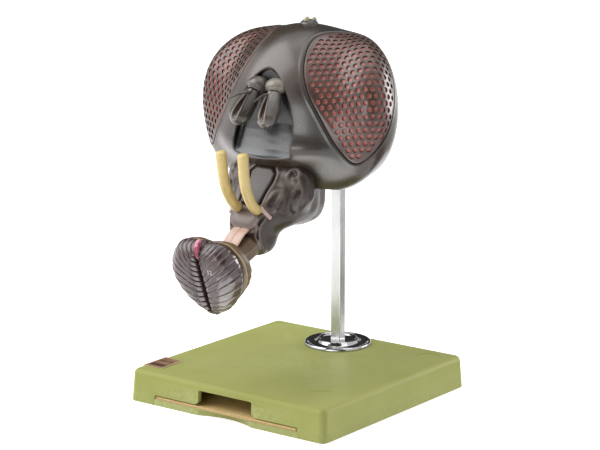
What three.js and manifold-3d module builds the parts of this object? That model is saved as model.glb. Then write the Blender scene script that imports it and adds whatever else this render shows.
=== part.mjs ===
// A housefly head, much enlarged, on a flat-sided rod and a moulded base with a card slot.
// Millimetres, +Z up. The origin is the middle of the base's underside, the head faces -Y,
// and left and right are as seen from the front.
import * as THREE from 'three';
import { mergeVertices } from 'three/addons/utils/BufferGeometryUtils.js';
import Module from 'manifold-3d';

// Base moulding
const baseSide = 205;
const baseHeight = 28;
const baseDraft = 1.6;
const baseEdgeRadius = 5;
const baseCornerRadius = 6;
const baseWall = 3;
const baseRoof = 3.2;

// Card slot, finger notch and bottom board
const slotSideGap = 1;
const slotTop = 8.9;
const notchWidth = 55.8;
const notchTop = 21.4;
const notchFlare = 4.5;
const boardThickness = 5.5;
const boardLipReach = 1;
const boardSideReach = 15;
const boardBack = 16;
const boardNotchDepth = 7;
const railWidth = 2.4;
const railHeight = 3;
const railRoot = 1;

// Key booklet: a folded card cover around a few leaves, an A6 sheet lying down
const bookletWidth = 148;
const bookletDepth = 105;
const coverThickness = 0.4;
const leavesThickness = 1;
const leavesInset = 0.8;
const slotWidth = bookletWidth + 2 * slotSideGap;
const boardLipWidth = slotWidth + 2 * boardLipReach;
const boardWidth = bookletWidth + 2 * boardSideReach;

// Screws of the bottom board
const screwShank = 3;
const screwHead = 6;
const screwHeadDepth = 2.2;
const screwLength = 14;
const screwBossRadius = 4.5;
const screwSlotWidth = 1;
const screwInset = 5;
const frontScrewSetBack = 18;

// Rod, rosette and their fastening
const rodWidth = 10;
const rodDepth = 8;
const rodX = -8;
const rodY = 67.5;
const rodStudDiameter = 6;
const rodBossRadius = 16;
const rodBossDepth = 14;
const rodSeatDepth = 10;
const washerRadius = 9;
const washerThickness = 1.6;
const nutAcrossFlats = 10;
const nutThickness = 5;
const studOvershoot = 1.5;
const rosetteRadius = 29.5;
const rosetteLip = 2.6;
const rosetteLipWidth = 4;
const rosetteFlange = 1.5;
const rosetteRingRadius = 16.5;
const rosetteRingHeight = 4.6;
const rosetteRecessRadius = 9;
const rosetteRecessHeight = 2.4;

// Blank name label on the base
const labelWidth = 20;
const labelLength = 30;
const labelThickness = 0.3;
const labelSetIn = 13.5;
const labelSetBack = 28.5;

// Head: height of its centre, its shell and the seam between its two halves
const headCentreHeight = 250;
const shellWall = 3.4;
const seamSetBack = 42;
const headBlend = 10;
const eyeGroove = 0.7;
const faceCavityFront = -22;

// The head's form is a soft union of rounded cores, given from the head's centre.
// Each core is mirrored about the middle plane.
const crownCore = { at: [0, 28, 5], radii: [59, 55, 56] };
const lobeCore = { at: [49, 32, -1], radii: [28, 54, 57], turn: [0.6, -0.02, 0.84] };
const cheekCore = { at: [36, -1, -32], radii: [44, 19, 35] };
const fronsCore = { at: [0, 0, -8], radii: [52, 37, 52] };
const vertexCore = { at: [0, 17, 39], radii: [35, 19, 15] };
const muzzleCore = { at: [0, -12, -31], radii: [47, 31, 14] };
const headCores = [crownCore, lobeCore, cheekCore, fronsCore, vertexCore, muzzleCore];
const headReach = 3 * crownCore.radii[0];

// Margin of the right eye, from the head's centre
const eyeMargin = [
  [24, 5, 58], [26, -14, 45], [35, -26, 22], [48, -26, -1], [61, -22, -23], [75, -13, -40],
  [87, -3, -29], [92, 10, -8], [88, 21, 15], [77, 29, 35], [55, 34, 56], [34, 28, 62],
];
const eyeHeart = [38, 22, 0];
const eyeConeReach = 1.35;
const eyeCapReach = 3;

// Pit that holds the antennae: an arch open to the front
const pitHalfWidth = 29;
const pitArchPower = 2.2;
const pitArchRound = 0.625;
const pitTop = 34;
const pitShoulder = -25;
const pitBottom = -38.5;
const pitFloorTop = -28;
const pitFloorMiddle = -29;
const pitFloorHollow = 3;
const pitFloorRise = 14;
const pitLipFront = -41;

// Antennae
const pedicelSide = 9.4;
const pedicelY = -33;
const pedicelZ = 20;
const pedicelRadii = [9, 8, 7.6];
const funiculusTip = [15.7, -56.6, -10.5];
const funiculusRadius = 9.8;
const funiculusDepth = 7.4;
const funiculusNarrowing = 0.42;
const grooveRadii = [3, 2.8, 12];
const aristaRoot = [8.5, -41, 15];
const aristaTip = [13.5, -68, 12];
const aristaArch = 1.5;
const aristaRadius = 1.3;
const aristaTaper = 0.7;

// Ocelli on their raised triangle at the top of the head
const ocellusRadius = 2.6;
const ocellusSpacing = 4.2;
const ocelliY = 25;
const tubercleRadius = 9;
const tubercleHeight = 3;
const tubercleRoot = 6;
const tubercleNarrowing = 0.6;

// Proboscis base, hung below the face
const rostrumBlend = 6;
const rostrumSquareness = 3;
const rostrumBodyCore = { at: [0, -22, -79], radii: [31, 34, 19] };
const rostrumHeelCore = { at: [0, 14, -77], radii: [15, 23, 26] };
const rostrumFaceCore = { at: [0, -27.5, -62], radii: [42, 11.5, 20] };
const rostrumFlapCore = { at: [0, -51, -100], radii: [17, 16, 19] };
const rostrumCores = [rostrumBodyCore, rostrumHeelCore, rostrumFaceCore, rostrumFlapCore];
const mouthReach = 2 * crownCore.radii[0];
const rostrumHeart = [0, -18, -78];
const rostrumTop = -43.5;
const rostrumPegRadius = 9;
const rostrumPegY = -10;
const rostrumPegProud = 2;
const rostrumPegRoot = 10;
const slantFront = -37.5;
const slantHeight = -51;
const slantSlope = 0.82;
const clypeusThickness = 1.6;
const clypeusTop = -48;
const clypeusBottom = -75;
const clypeusTopHalf = 12.5;
const clypeusBottomHalf = 10;

// Palps and maxilla stubs beside them
const palpRadius = 4.9;
const palpRootShare = 0.92;
const palpCurve = [[10, -53, -83], [10.2, -66, -74], [10.8, -76, -56], [11.5, -80, -28.5]];
const stubRadius = 1.7;
const stubCurve = [[11, -54, -76], [15, -58, -79], [22, -56, -85.5]];

// Haustellum and labrum
const haustellumCurve = [[0, -46, -97], [0, -62, -109], [0, -80, -116], [0, -98, -117]];
const haustellumRootHalf = [15, 11];
const haustellumEndHalf = [13.5, 10];
const labrumWidth = 16.5;
const labrumThickness = 2.4;
const labrumCurve = [[0, -60, -93], [0, -73, -97], [0, -85, -106], [0, -97, -110]];

// Labellum, laid out in its own tilted plane: across the head, down the crease, and how far
// in front of the crease. The right lobe's outline starts at the top of the crease.
const labellumTop = [0, -126, -96.5];
const labellumTilt = 19.9;
const lobeOutline = [
  [0, 6.5], [2, 3.8], [7, 2.2], [14, 1.8], [21, 3.5], [26.2, 8.7], [30.2, 15], [32.6, 24],
  [32, 33], [28.7, 42.8], [23.2, 52], [15.8, 60.3], [8.4, 65.6], [2.5, 67.3], [0, 65],
];
const lobeMiddle = [12, 31];
const lobeCrest = 8.5;
const lobeWidest = -8;
const lobeBack = -12;
const lobeRoundness = 0.55;
const lobeParting = 0.5;
const collarMiddle = 35;
const collarRings = [[0, 1.02, 0.94], [4.7, 1.02, 0.92], [9.2, 0.9, 0.82], [13, 0.64, 0.62]];
const tissueRadius = 2.1;
const tissueCurve = [[0, -1, -5], [0, 6, 1], [0, 16, 2.5]];

// Neck stump at the back of the head, and the socket that takes the rod inside it
const neckRadius = 17;
const neckInnerRadius = 12;
const neckLength = 7;
const neckZ = 14;
const neckSpigotWall = 2;
const neckSpigotProud = 3;
const socketWall = 3;
const socketTop = 11;
const socketCap = 3;

// Clearances, and how far a cutting tool runs past what it cuts
const fitGap = 0.3;
const slideGap = 0.4;
const sheetGap = 0.1;
const cutMargin = 2;

// How finely the rounded forms are divided
const headDetail = 9;
const cavityDetail = 5;
const rostrumDetail = 6;
const ballDetail = 2;
const lensDetail = 2;
const rosetteSides = 32;
const barSides = 12;
const fineBarSides = 8;
const screwSides = 12;
const lobeSides = 28;
const lobeDomeSteps = 5;

const wasm = await Module();
wasm.setup();

const part = new THREE.Group();

// Materials
const material = (color, roughness, metalness = 0) =>
  new THREE.MeshStandardMaterial({ color, roughness, metalness });
const baseGreen = 0xa3a866;
const headBrown = 0x524b47;
const eyeBrown = 0x6b4a46;
const paleYellow = 0xe6d489;
const stubPink = 0xb08a8c;
const haustellumOlive = 0x6a6157;
const labrumPink = 0xf0d2c6;
const collarOlive = 0x7d6a45;
const lobeBrown = 0x3f3134;
const tissueRed = 0xb43c64;
const bookletTan = 0xd8b67c;
const paperCream = 0xf1e3b4;
const labelCopper = 0xb08468;
const brightMetal = 0xc9cacb;
const screwMetal = 0xb8b8b8;

// Solids from geometries and back
const toSolid = (geometry) => {
  const bare = geometry.clone();
  bare.deleteAttribute('normal');
  bare.deleteAttribute('uv');
  const merged = mergeVertices(bare, 1e-4);
  const corners = merged.index.array;
  const points = merged.attributes.position.array;
  const kept = [];
  for (let i = 0; i < corners.length; i += 3) {
    const [a, b, c] = [corners[i], corners[i + 1], corners[i + 2]];
    if (a !== b && b !== c && c !== a) kept.push(a, b, c);
  }
  const triVerts = new Uint32Array(kept);
  if (signedVolume(points, triVerts) < 0) {
    for (let i = 0; i < triVerts.length; i += 3) {
      [triVerts[i], triVerts[i + 1]] = [triVerts[i + 1], triVerts[i]];
    }
  }
  const vertProperties = new Float32Array(points);
  return new wasm.Manifold(new wasm.Mesh({ numProp: 3, vertProperties, triVerts }));
};

const signedVolume = (points, triangles) => {
  const [a, b, c] = [new THREE.Vector3(), new THREE.Vector3(), new THREE.Vector3()];
  let volume = 0;
  for (let i = 0; i < triangles.length; i += 3) {
    a.fromArray(points, 3 * triangles[i]);
    b.fromArray(points, 3 * triangles[i + 1]);
    c.fromArray(points, 3 * triangles[i + 2]);
    volume += a.dot(b.cross(c)) / 6;
  }
  return volume;
};

const toGeometry = (solid) => {
  const mesh = solid.getMesh();
  const geometry = new THREE.BufferGeometry();
  const points = new THREE.BufferAttribute(new Float32Array(mesh.vertProperties), mesh.numProp);
  geometry.setAttribute('position', points);
  geometry.setIndex(new THREE.BufferAttribute(new Uint32Array(mesh.triVerts), 1));
  geometry.computeVertexNormals();
  return geometry;
};

// The largest piece of a solid: slivers cut off at a rim are dropped
const mainPiece = (solid) => {
  const pieces = solid.decompose();
  return pieces.reduce((best, piece) => (piece.volume() > best.volume() ? piece : best));
};

const addNode = (group, name, solid, finish) => {
  const mesh = new THREE.Mesh(toGeometry(solid), finish);
  mesh.name = name;
  group.add(mesh);
  return mesh;
};

// Simple solids, each at a given place
const box = (x0, x1, y0, y1, z0, z1) => {
  const geometry = new THREE.BoxGeometry(x1 - x0, y1 - y0, z1 - z0);
  geometry.translate((x0 + x1) / 2, (y0 + y1) / 2, (z0 + z1) / 2);
  return toSolid(geometry);
};

const rod = (radius, z0, z1, x = 0, y = 0, sides = 20) => {
  const geometry = new THREE.CylinderGeometry(radius, radius, z1 - z0, sides);
  geometry.rotateX(Math.PI / 2);
  geometry.translate(x, y, (z0 + z1) / 2);
  return toSolid(geometry);
};

const rodAlongY = (radius, y0, y1, x, z, sides = 28) => {
  const geometry = new THREE.CylinderGeometry(radius, radius, y1 - y0, sides);
  geometry.translate(x, (y0 + y1) / 2, z);
  return toSolid(geometry);
};

const prism = (shape, depth, curveSegments = 12) =>
  new THREE.ExtrudeGeometry(shape, { depth, bevelEnabled: false, curveSegments });

// An outline in x and z pushed along +Y from y0 to y1
const prismAlongY = (shape, y0, y1, curveSegments) => {
  const geometry = prism(shape, y1 - y0, curveSegments);
  geometry.rotateX(Math.PI / 2);
  geometry.translate(0, y1, 0);
  return toSolid(geometry);
};

// A closed solid through rings of equally many points, with flat or domed ends
const loft = (rings) => {
  const count = rings[0].length;
  const points = rings.flat();
  const triangles = [];
  for (let ring = 0; ring + 1 < rings.length; ring += 1) {
    for (let i = 0; i < count; i += 1) {
      const next = (i + 1) % count;
      const [a, b] = [ring * count + i, ring * count + next];
      triangles.push(a, b, b + count, a, b + count, a + count);
    }
  }
  const middleOf = (ring) =>
    ring.reduce((sum, point) => sum.add(point), new THREE.Vector3()).divideScalar(count);
  const first = points.push(middleOf(rings[0])) - 1;
  const last = points.push(middleOf(rings[rings.length - 1])) - 1;
  const top = (rings.length - 1) * count;
  for (let i = 0; i < count; i += 1) {
    const next = (i + 1) % count;
    triangles.push(first, next, i, last, top + i, top + next);
  }
  const geometry = new THREE.BufferGeometry().setFromPoints(points);
  geometry.setIndex(triangles);
  return toSolid(geometry);
};

const roundedSquare = (half, radius, z, arcSteps = 4) => {
  const points = [];
  for (let corner = 0; corner < 4; corner += 1) {
    const start = (corner * Math.PI) / 2;
    const [sx, sy] = [[1, 1], [-1, 1], [-1, -1], [1, -1]][corner];
    for (let i = 0; i <= arcSteps; i += 1) {
      const angle = start + (i / arcSteps) * (Math.PI / 2);
      const x = sx * (half - radius) + radius * Math.cos(angle);
      const y = sy * (half - radius) + radius * Math.sin(angle);
      points.push(new THREE.Vector3(x, y, z));
    }
  }
  return points;
};

// Places along a bar: even steps, then closer ones over a domed stretch at either end
const stations = (steps, startDome = 0, endDome = 0) => {
  const places = [];
  const domeSteps = 4;
  const share = (i) => 1 - Math.sin((0.97 * i * Math.PI) / (2 * domeSteps));
  if (startDome > 0) for (let i = domeSteps; i > 0; i -= 1) places.push(startDome * share(i));
  for (let i = 0; i <= steps; i += 1) {
    places.push(startDome + (i / steps) * (1 - startDome - endDome));
  }
  if (endDome > 0) for (let i = 1; i <= domeSteps; i += 1) places.push(1 - endDome * share(i));
  return places;
};

// Size along a bar with domed ends, as a share of its full size
const domed = (t, startDome, endDome) => {
  let into = 1;
  if (startDome > 0) into = Math.min(into, t / startDome);
  if (endDome > 0) into = Math.min(into, (1 - t) / endDome);
  return into >= 1 ? 1 : Math.sqrt(1 - (1 - Math.max(into, 0)) ** 2);
};

// A rounded bar along a smooth curve. sizeAt gives its half width and half depth.
const barAlong = (curvePoints, sizeAt, places, sides = barSides) => {
  const curve = new THREE.CatmullRomCurve3(curvePoints.map((p) => new THREE.Vector3(...p)));
  const across = new THREE.Vector3(1, 0, 0);
  const rings = places.map((t) => {
    const centre = curve.getPointAt(t);
    const along = curve.getTangentAt(t);
    const side = across.clone().addScaledVector(along, -across.dot(along)).normalize();
    const out = new THREE.Vector3().crossVectors(along, side);
    const [halfWidth, halfDepth] = sizeAt(t);
    return Array.from({ length: sides }, (_, i) => {
      const angle = (i / sides) * 2 * Math.PI;
      return centre.clone()
        .addScaledVector(side, halfWidth * Math.cos(angle))
        .addScaledVector(out, halfDepth * Math.sin(angle));
    });
  });
  return loft(rings);
};

// Distance from a point to a rounded core, along the ray from the core's middle
const coreGap = (point, core, squareness) => {
  const local = new THREE.Vector3(Math.abs(point.x), point.y, point.z);
  local.sub(new THREE.Vector3(...core.at));
  const reach = local.length();
  if (core.turn) {
    const turn = new THREE.Quaternion().setFromEuler(new THREE.Euler(...core.turn, 'ZYX'));
    local.applyQuaternion(turn.invert());
  }
  const [rx, ry, rz] = core.radii;
  const sum =
    Math.abs(local.x / rx) ** squareness +
    Math.abs(local.y / ry) ** squareness +
    Math.abs(local.z / rz) ** squareness;
  return reach * (1 - 1 / Math.max(sum ** (1 / squareness), 1e-6));
};

// A field that is negative inside the soft union of the cores, grown outwards by grow
const softUnion = (cores, blend, grow, squareness = 2) => (point) => {
  const gaps = cores.map((core) => coreGap(point, core, squareness));
  const least = Math.min(...gaps);
  const sum = gaps.reduce((total, gap) => total + Math.exp((least - gap) / blend), 0);
  return least - blend * Math.log(sum) - grow;
};

// The surface of a field seen from its heart, as an evenly divided ball pushed out to it
const starSolid = (field, heart, detail, reach) => {
  const ball = mergeVertices(bareBall(detail), 1e-5);
  const places = ball.attributes.position;
  const middle = new THREE.Vector3(...heart);
  const direction = new THREE.Vector3();
  const point = new THREE.Vector3();
  for (let i = 0; i < places.count; i += 1) {
    direction.fromBufferAttribute(places, i).normalize();
    let [inside, outside] = [0, reach];
    for (let step = 0; step < 28; step += 1) {
      const half = (inside + outside) / 2;
      point.copy(middle).addScaledVector(direction, half);
      if (field(point) < 0) inside = half;
      else outside = half;
    }
    point.copy(middle).addScaledVector(direction, inside);
    places.setXYZ(i, point.x, point.y, point.z);
  }
  return toSolid(ball);
};

const bareBall = (detail) => {
  const ball = new THREE.IcosahedronGeometry(1, detail);
  ball.deleteAttribute('normal');
  ball.deleteAttribute('uv');
  return ball;
};

const mirrored = (place, side) => [side * place[0], place[1], place[2]];

// Stand
const baseOuter = () => {
  const half = baseSide / 2;
  const straight = baseHeight - baseEdgeRadius;
  const inset = (z) => (baseDraft * z) / baseHeight;
  const rings = [roundedSquare(half, baseCornerRadius, 0)];
  const filletSteps = 4;
  for (let i = 0; i <= filletSteps; i += 1) {
    const angle = (i / filletSteps) * (Math.PI / 2);
    const z = straight + baseEdgeRadius * Math.sin(angle);
    const drawnIn = baseEdgeRadius * (1 - Math.cos(angle));
    const cornerRadius = Math.max(baseCornerRadius - drawnIn, 0.8);
    rings.push(roundedSquare(half - inset(straight) - drawnIn, cornerRadius, z));
  }
  return loft(rings);
};

const baseInner = () => {
  const half = baseSide / 2 - baseWall;
  const top = baseHeight - baseRoof;
  const radius = baseCornerRadius - baseWall;
  const drawnIn = baseDraft + baseWall / 2;
  return loft([
    roundedSquare(half, radius, -cutMargin),
    roundedSquare(half, radius, 0),
    roundedSquare(half - drawnIn, radius, top),
  ]);
};

const frontOpening = () => {
  const lip = boardLipWidth / 2 + fitGap;
  const slot = slotWidth / 2;
  const notch = notchWidth / 2;
  const lipTop = boardThickness + fitGap;
  const shape = new THREE.Shape();
  shape.moveTo(-lip, -cutMargin);
  shape.lineTo(lip, -cutMargin);
  shape.lineTo(lip, lipTop);
  shape.lineTo(slot, lipTop);
  shape.lineTo(slot, slotTop);
  shape.lineTo(notch + notchFlare, slotTop);
  shape.quadraticCurveTo(notch, slotTop, notch, slotTop + notchFlare);
  shape.lineTo(notch, notchTop);
  shape.lineTo(-notch, notchTop);
  shape.lineTo(-notch, slotTop + notchFlare);
  shape.quadraticCurveTo(-notch, slotTop, -notch - notchFlare, slotTop);
  shape.lineTo(-slot, slotTop);
  shape.lineTo(-slot, lipTop);
  shape.lineTo(-lip, lipTop);
  const front = -baseSide / 2;
  return prismAlongY(shape, front - cutMargin, front + baseWall + baseDraft + cutMargin, 4);
};

// The rod's section, grown all round by grow, from z0 to z1
const rodBar = (grow, z0, z1) => {
  const [halfX, halfY] = [rodWidth / 2 + grow, rodDepth / 2 + grow];
  return box(rodX - halfX, rodX + halfX, rodY - halfY, rodY + halfY, z0, z1);
};

const boardFront = -baseSide / 2 + fitGap;
const boardShoulder = -baseSide / 2 + baseWall + baseDraft + fitGap;
const screwPlaces = [-1, 1].flatMap((side) =>
  [boardShoulder + frontScrewSetBack, boardBack - screwInset].map((y) => [
    side * (boardWidth / 2 - screwInset), y,
  ]));

const makeBaseShell = () => {
  let shell = baseOuter().subtract(baseInner());
  const roof = baseHeight - baseRoof / 2;
  const screwTip = screwHeadDepth + screwLength + fitGap;
  for (const [x, y] of screwPlaces) {
    shell = shell.add(
      rod(screwBossRadius, boardThickness + fitGap, roof, x, y, screwSides));
    shell = shell.subtract(rod(screwShank / 2 + fitGap, 0, screwTip, x, y, screwSides));
  }
  shell = shell.add(rod(rodBossRadius, baseHeight - rodBossDepth, roof, rodX, rodY, 32));
  shell = shell.subtract(rodBar(fitGap, baseHeight - rodSeatDepth, baseHeight + cutMargin));
  shell = shell.subtract(
    rod(rodStudDiameter / 2 + fitGap, -cutMargin, baseHeight, rodX, rodY));
  return shell.subtract(frontOpening());
};

const makeBottomBoard = () => {
  const lip = boardLipWidth / 2;
  const half = boardWidth / 2;
  const notch = notchWidth / 2;
  const shape = new THREE.Shape();
  shape.moveTo(-lip, boardFront);
  shape.lineTo(-notch, boardFront);
  shape.quadraticCurveTo(0, boardFront + 2 * boardNotchDepth, notch, boardFront);
  shape.lineTo(lip, boardFront);
  shape.lineTo(lip, boardShoulder);
  shape.lineTo(half, boardShoulder);
  shape.lineTo(half, boardBack);
  shape.lineTo(-half, boardBack);
  shape.lineTo(-half, boardShoulder);
  shape.lineTo(-lip, boardShoulder);
  let board = toSolid(prism(shape, boardThickness, 10));
  const railInner = bookletWidth / 2 + slideGap;
  const [top, sunk] = [boardThickness + railHeight, boardThickness - railRoot];
  for (const side of [-1, 1]) {
    const [a, b] = [side * railInner, side * (railInner + railWidth)];
    board = board.add(
      box(Math.min(a, b), Math.max(a, b), boardShoulder, bookletStop + railWidth, sunk, top));
  }
  board = board.add(
    box(-railInner, railInner, bookletStop, bookletStop + railWidth, sunk, top));
  const [shank, head] = [screwShank / 2 + fitGap, screwHead / 2 + fitGap];
  const [over, under] = [boardThickness + cutMargin, -cutMargin];
  for (const [x, y] of screwPlaces) {
    board = board.subtract(rod(shank, under, over, x, y, screwSides));
    board = board.subtract(rod(head, under, screwHeadDepth + fitGap, x, y, screwSides));
  }
  return board;
};

const bookletStop = boardFront + bookletDepth + slideGap;

const makeScrew = ([x, y]) => {
  const tip = screwHeadDepth + screwLength;
  const head = rod(screwHead / 2, 0, screwHeadDepth, x, y, screwSides);
  const shank = rod(screwShank / 2, screwHeadDepth / 2, tip, x, y, screwSides);
  const reach = screwHead / 2 + cutMargin;
  const half = screwSlotWidth / 2;
  const slot = box(x - reach, x + reach, y - half, y + half, -cutMargin, screwHeadDepth / 2);
  return head.add(shank).subtract(slot);
};

const bookletBottom = boardThickness + fitGap;
const leavesBottom = bookletBottom + coverThickness + sheetGap;

const makeCover = () => {
  const half = bookletWidth / 2;
  const top = leavesBottom + leavesThickness + sheetGap + coverThickness;
  const outer = box(-half, half, boardFront, boardFront + bookletDepth, bookletBottom, top);
  const inner = box(
    -half - cutMargin, half + cutMargin, boardFront - cutMargin,
    boardFront + bookletDepth - coverThickness,
    bookletBottom + coverThickness, top - coverThickness);
  return outer.subtract(inner);
};

const makeLeaves = () => {
  const half = bookletWidth / 2 - leavesInset;
  return box(
    -half, half, boardFront + leavesInset, boardFront + bookletDepth - coverThickness - sheetGap,
    leavesBottom, leavesBottom + leavesThickness);
};

const makeRosette = () => {
  const bottom = baseHeight + fitGap;
  const lipStart = rosetteRadius - rosetteLipWidth;
  const outline = [
    [0, 0], [rosetteRadius, 0], [rosetteRadius, rosetteLip * 0.5],
    [rosetteRadius - 0.8, rosetteLip], [rosetteRadius - 2.4, rosetteLip],
    [lipStart, rosetteFlange], [rosetteRingRadius + 4, rosetteFlange + 0.3],
    [rosetteRingRadius + 1.6, rosetteRingHeight * 0.8], [rosetteRingRadius, rosetteRingHeight],
    [rosetteRingRadius - 1.4, rosetteRingHeight * 0.85],
    [rosetteRecessRadius, rosetteRecessHeight], [0, rosetteRecessHeight],
  ];
  const profile = outline.map(([r, z]) => new THREE.Vector2(r, z));
  const geometry = new THREE.LatheGeometry(profile, rosetteSides);
  geometry.rotateX(Math.PI / 2);
  geometry.translate(rodX, rodY, bottom);
  return toSolid(geometry).subtract(
    rodBar(fitGap, bottom - cutMargin, bottom + rosetteRingHeight));
};

const rodBottom = baseHeight - rodSeatDepth + fitGap;
const rodTop = headCentreHeight + socketTop - socketCap - fitGap;
const washerTop = baseHeight - rodBossDepth - fitGap;
const nutTop = washerTop - washerThickness - fitGap;
const studBottom = nutTop - nutThickness - studOvershoot;

const makeRod = () =>
  rodBar(0, rodBottom, rodTop)
    .add(rod(rodStudDiameter / 2, studBottom, rodBottom + cutMargin, rodX, rodY));

const makeWasher = () => {
  const bottom = washerTop - washerThickness;
  const hole = rod(
    rodStudDiameter / 2 + fitGap, bottom - cutMargin, washerTop + cutMargin, rodX, rodY);
  return rod(washerRadius, bottom, washerTop, rodX, rodY).subtract(hole);
};

const makeNut = () => {
  const bottom = nutTop - nutThickness;
  const corner = nutAcrossFlats / Math.sqrt(3);
  const hole = rod(
    rodStudDiameter / 2 + fitGap, bottom - cutMargin, nutTop + cutMargin, rodX, rodY);
  return rod(corner, bottom, nutTop, rodX, rodY, 6).subtract(hole);
};

const makeLabel = () => {
  const bottom = baseHeight + sheetGap;
  const [x, y] = [labelSetIn - baseSide / 2, labelSetBack - baseSide / 2];
  return box(
    x - labelWidth / 2, x + labelWidth / 2, y - labelLength / 2, y + labelLength / 2,
    bottom, bottom + labelThickness);
};

// Head, in its own group with the head's centre at the group's origin
const headField = (grow) => softUnion(headCores, headBlend, grow);
const headHeart = [0, 18, -2];
const headOuter = (grow, detail) => starSolid(headField(grow), headHeart, detail, headReach);

const headCavity = () => {
  const skin = headField(-shellWall);
  const field = (point) => Math.max(skin(point), faceCavityFront - point.y);
  return starSolid(field, headHeart, cavityDetail, headReach);
};

const eyeCone = (side, grow) => {
  const heart = new THREE.Vector3(...mirrored(eyeHeart, side));
  const places = eyeMargin.map((p) => new THREE.Vector3(...mirrored(p, side)));
  const curve = new THREE.CatmullRomCurve3(places, true);
  const ring = curve.getPoints(40).slice(0, -1);
  const middle = ring.reduce((sum, p) => sum.add(p), new THREE.Vector3());
  middle.divideScalar(ring.length);
  const away = (p) => {
    const out = p.clone().sub(middle).normalize();
    return p.clone().addScaledVector(out, grow).sub(heart).multiplyScalar(eyeConeReach).add(heart);
  };
  const points = ring.map(away);
  const count = points.length;
  const apex = points.push(heart) - 1;
  const cap = points.push(middle.clone().sub(heart).multiplyScalar(eyeCapReach).add(heart)) - 1;
  const triangles = [];
  for (let i = 0; i < count; i += 1) {
    const next = (i + 1) % count;
    triangles.push(apex, i, next, cap, next, i);
  }
  const geometry = new THREE.BufferGeometry().setFromPoints(points);
  geometry.setIndex(triangles);
  return toSolid(geometry);
};

// Pit cutter: the arch outline pushed back to a floor that slopes out to the mouth edge
const pitCutter = () => {
  const rise = pitTop - pitShoulder;
  const widthAt = (z) =>
    pitHalfWidth * (1 - ((z - pitShoulder) / rise) ** pitArchPower) ** pitArchRound;
  const steps = 12;
  const arch = Array.from({ length: steps }, (_, i) => {
    const z = pitShoulder + rise * Math.sin((i / steps) * (Math.PI / 2));
    return [widthAt(z), z];
  });
  const outline = new THREE.Shape();
  outline.moveTo(-pitHalfWidth, pitBottom);
  outline.lineTo(pitHalfWidth, pitBottom);
  for (const [s, z] of arch) outline.lineTo(s, z);
  outline.lineTo(0, pitTop);
  for (const [s, z] of arch.reverse()) outline.lineTo(-s, z);
  const side = prismAlongY(outline, -headReach, 0);
  const floor = new THREE.Shape();
  floor.moveTo(-headReach, pitBottom - cutMargin);
  floor.lineTo(pitLipFront, pitBottom - cutMargin);
  floor.lineTo(pitLipFront, pitBottom);
  floor.quadraticCurveTo(
    pitFloorMiddle - pitFloorHollow, pitShoulder, pitFloorMiddle, pitShoulder + pitFloorRise);
  floor.lineTo(pitFloorTop, pitTop + cutMargin);
  floor.lineTo(-headReach, pitTop + cutMargin);
  const halfSlab = pitHalfWidth + cutMargin;
  const slab = prism(floor, 2 * halfSlab, 4);
  slab.rotateX(Math.PI / 2);
  slab.rotateZ(Math.PI / 2);
  slab.translate(-halfSlab, 0, 0);
  return side.intersect(toSolid(slab));
};

const headGrown = () => headOuter(fitGap, headDetail).subtract(pitCutter());

// A point of a field's surface, walked to from inside
const surfaceAlong = (field, from, direction) => {
  const point = new THREE.Vector3(...from);
  const step = new THREE.Vector3(...direction).normalize().multiplyScalar(0.05);
  while (field(point) < 0) point.add(step);
  return point;
};

// The peg on the rostrum that plugs into the head's underside
const rostrumPeg = (grow) => {
  const underside = surfaceAlong(headField(0), [0, rostrumPegY, 0], [0, 0, -1]).z;
  return rod(
    rostrumPegRadius + grow, underside - rostrumPegRoot,
    underside + shellWall + rostrumPegProud + grow, 0, rostrumPegY);
};

// Blind socket for the rod's top end, grown all round by grow
const socketBlock = (grow) => {
  const [halfX, halfY] = [rodWidth, rodDepth].map((size) => size / 2 + fitGap + socketWall + grow);
  return box(-halfX, halfX, rodY - halfY, rodY + halfY, -headCentreHeight / 2, socketTop + grow);
};

const makeHead = (group) => {
  const skin = headOuter(0, headDetail).subtract(headCavity());
  let shell = skin.subtract(pitCutter());
  for (const side of [-1, 1]) shell = shell.subtract(eyeCone(side, eyeGroove));
  shell = shell.subtract(socketBlock(fitGap)).subtract(rostrumPeg(fitGap));
  const seam = (y0, y1) => box(-headReach, headReach, y0, y1, -headReach, headReach);
  const neckBore = rodAlongY(neckInnerRadius + fitGap, seamSetBack, headReach, 0, neckZ);
  const frontShell = mainPiece(shell.intersect(seam(-headReach, seamSetBack)));
  const backHalf = shell.intersect(seam(seamSetBack + fitGap, headReach));
  const backShell = mainPiece(backHalf.subtract(neckBore));
  addNode(group, 'head_front_shell', frontShell, material(headBrown, 0.42));
  addNode(group, 'head_back_shell', backShell, material(headBrown, 0.42));
  for (const [name, side] of [['left', -1], ['right', 1]]) {
    const eye = mainPiece(skin.intersect(eyeCone(side, 0)));
    addNode(group, `eye_${name}`, eye, material(eyeBrown, 0.45));
  }
};

const makeNeck = () => {
  const skin = surfaceAlong(headField(0), [0, seamSetBack, neckZ], [0, 1, 0]).y;
  const back = skin + neckLength;
  const inner = skin - shellWall - neckSpigotProud;
  const hole = rodAlongY(
    neckInnerRadius - neckSpigotWall, inner - cutMargin, back + cutMargin, 0, neckZ);
  const collar = rodAlongY(neckRadius, inner, back, 0, neckZ);
  const spigot = rodAlongY(neckInnerRadius, inner, back, 0, neckZ);
  return mainPiece(
    collar.subtract(headOuter(fitGap, headDetail)).add(spigot).subtract(hole));
};

// Everything that hangs on the head
const ellipsoid = (radii, place, detail = ballDetail, direction = null) => {
  const ball = mergeVertices(bareBall(detail), 1e-5);
  ball.scale(...radii);
  if (direction) {
    const turn = new THREE.Quaternion();
    ball.applyQuaternion(turn.setFromUnitVectors(new THREE.Vector3(0, 0, 1), direction));
  }
  ball.translate(...place);
  return toSolid(ball);
};

const grownBy = (radii, grow) => radii.map((radius) => radius + grow);

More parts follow.
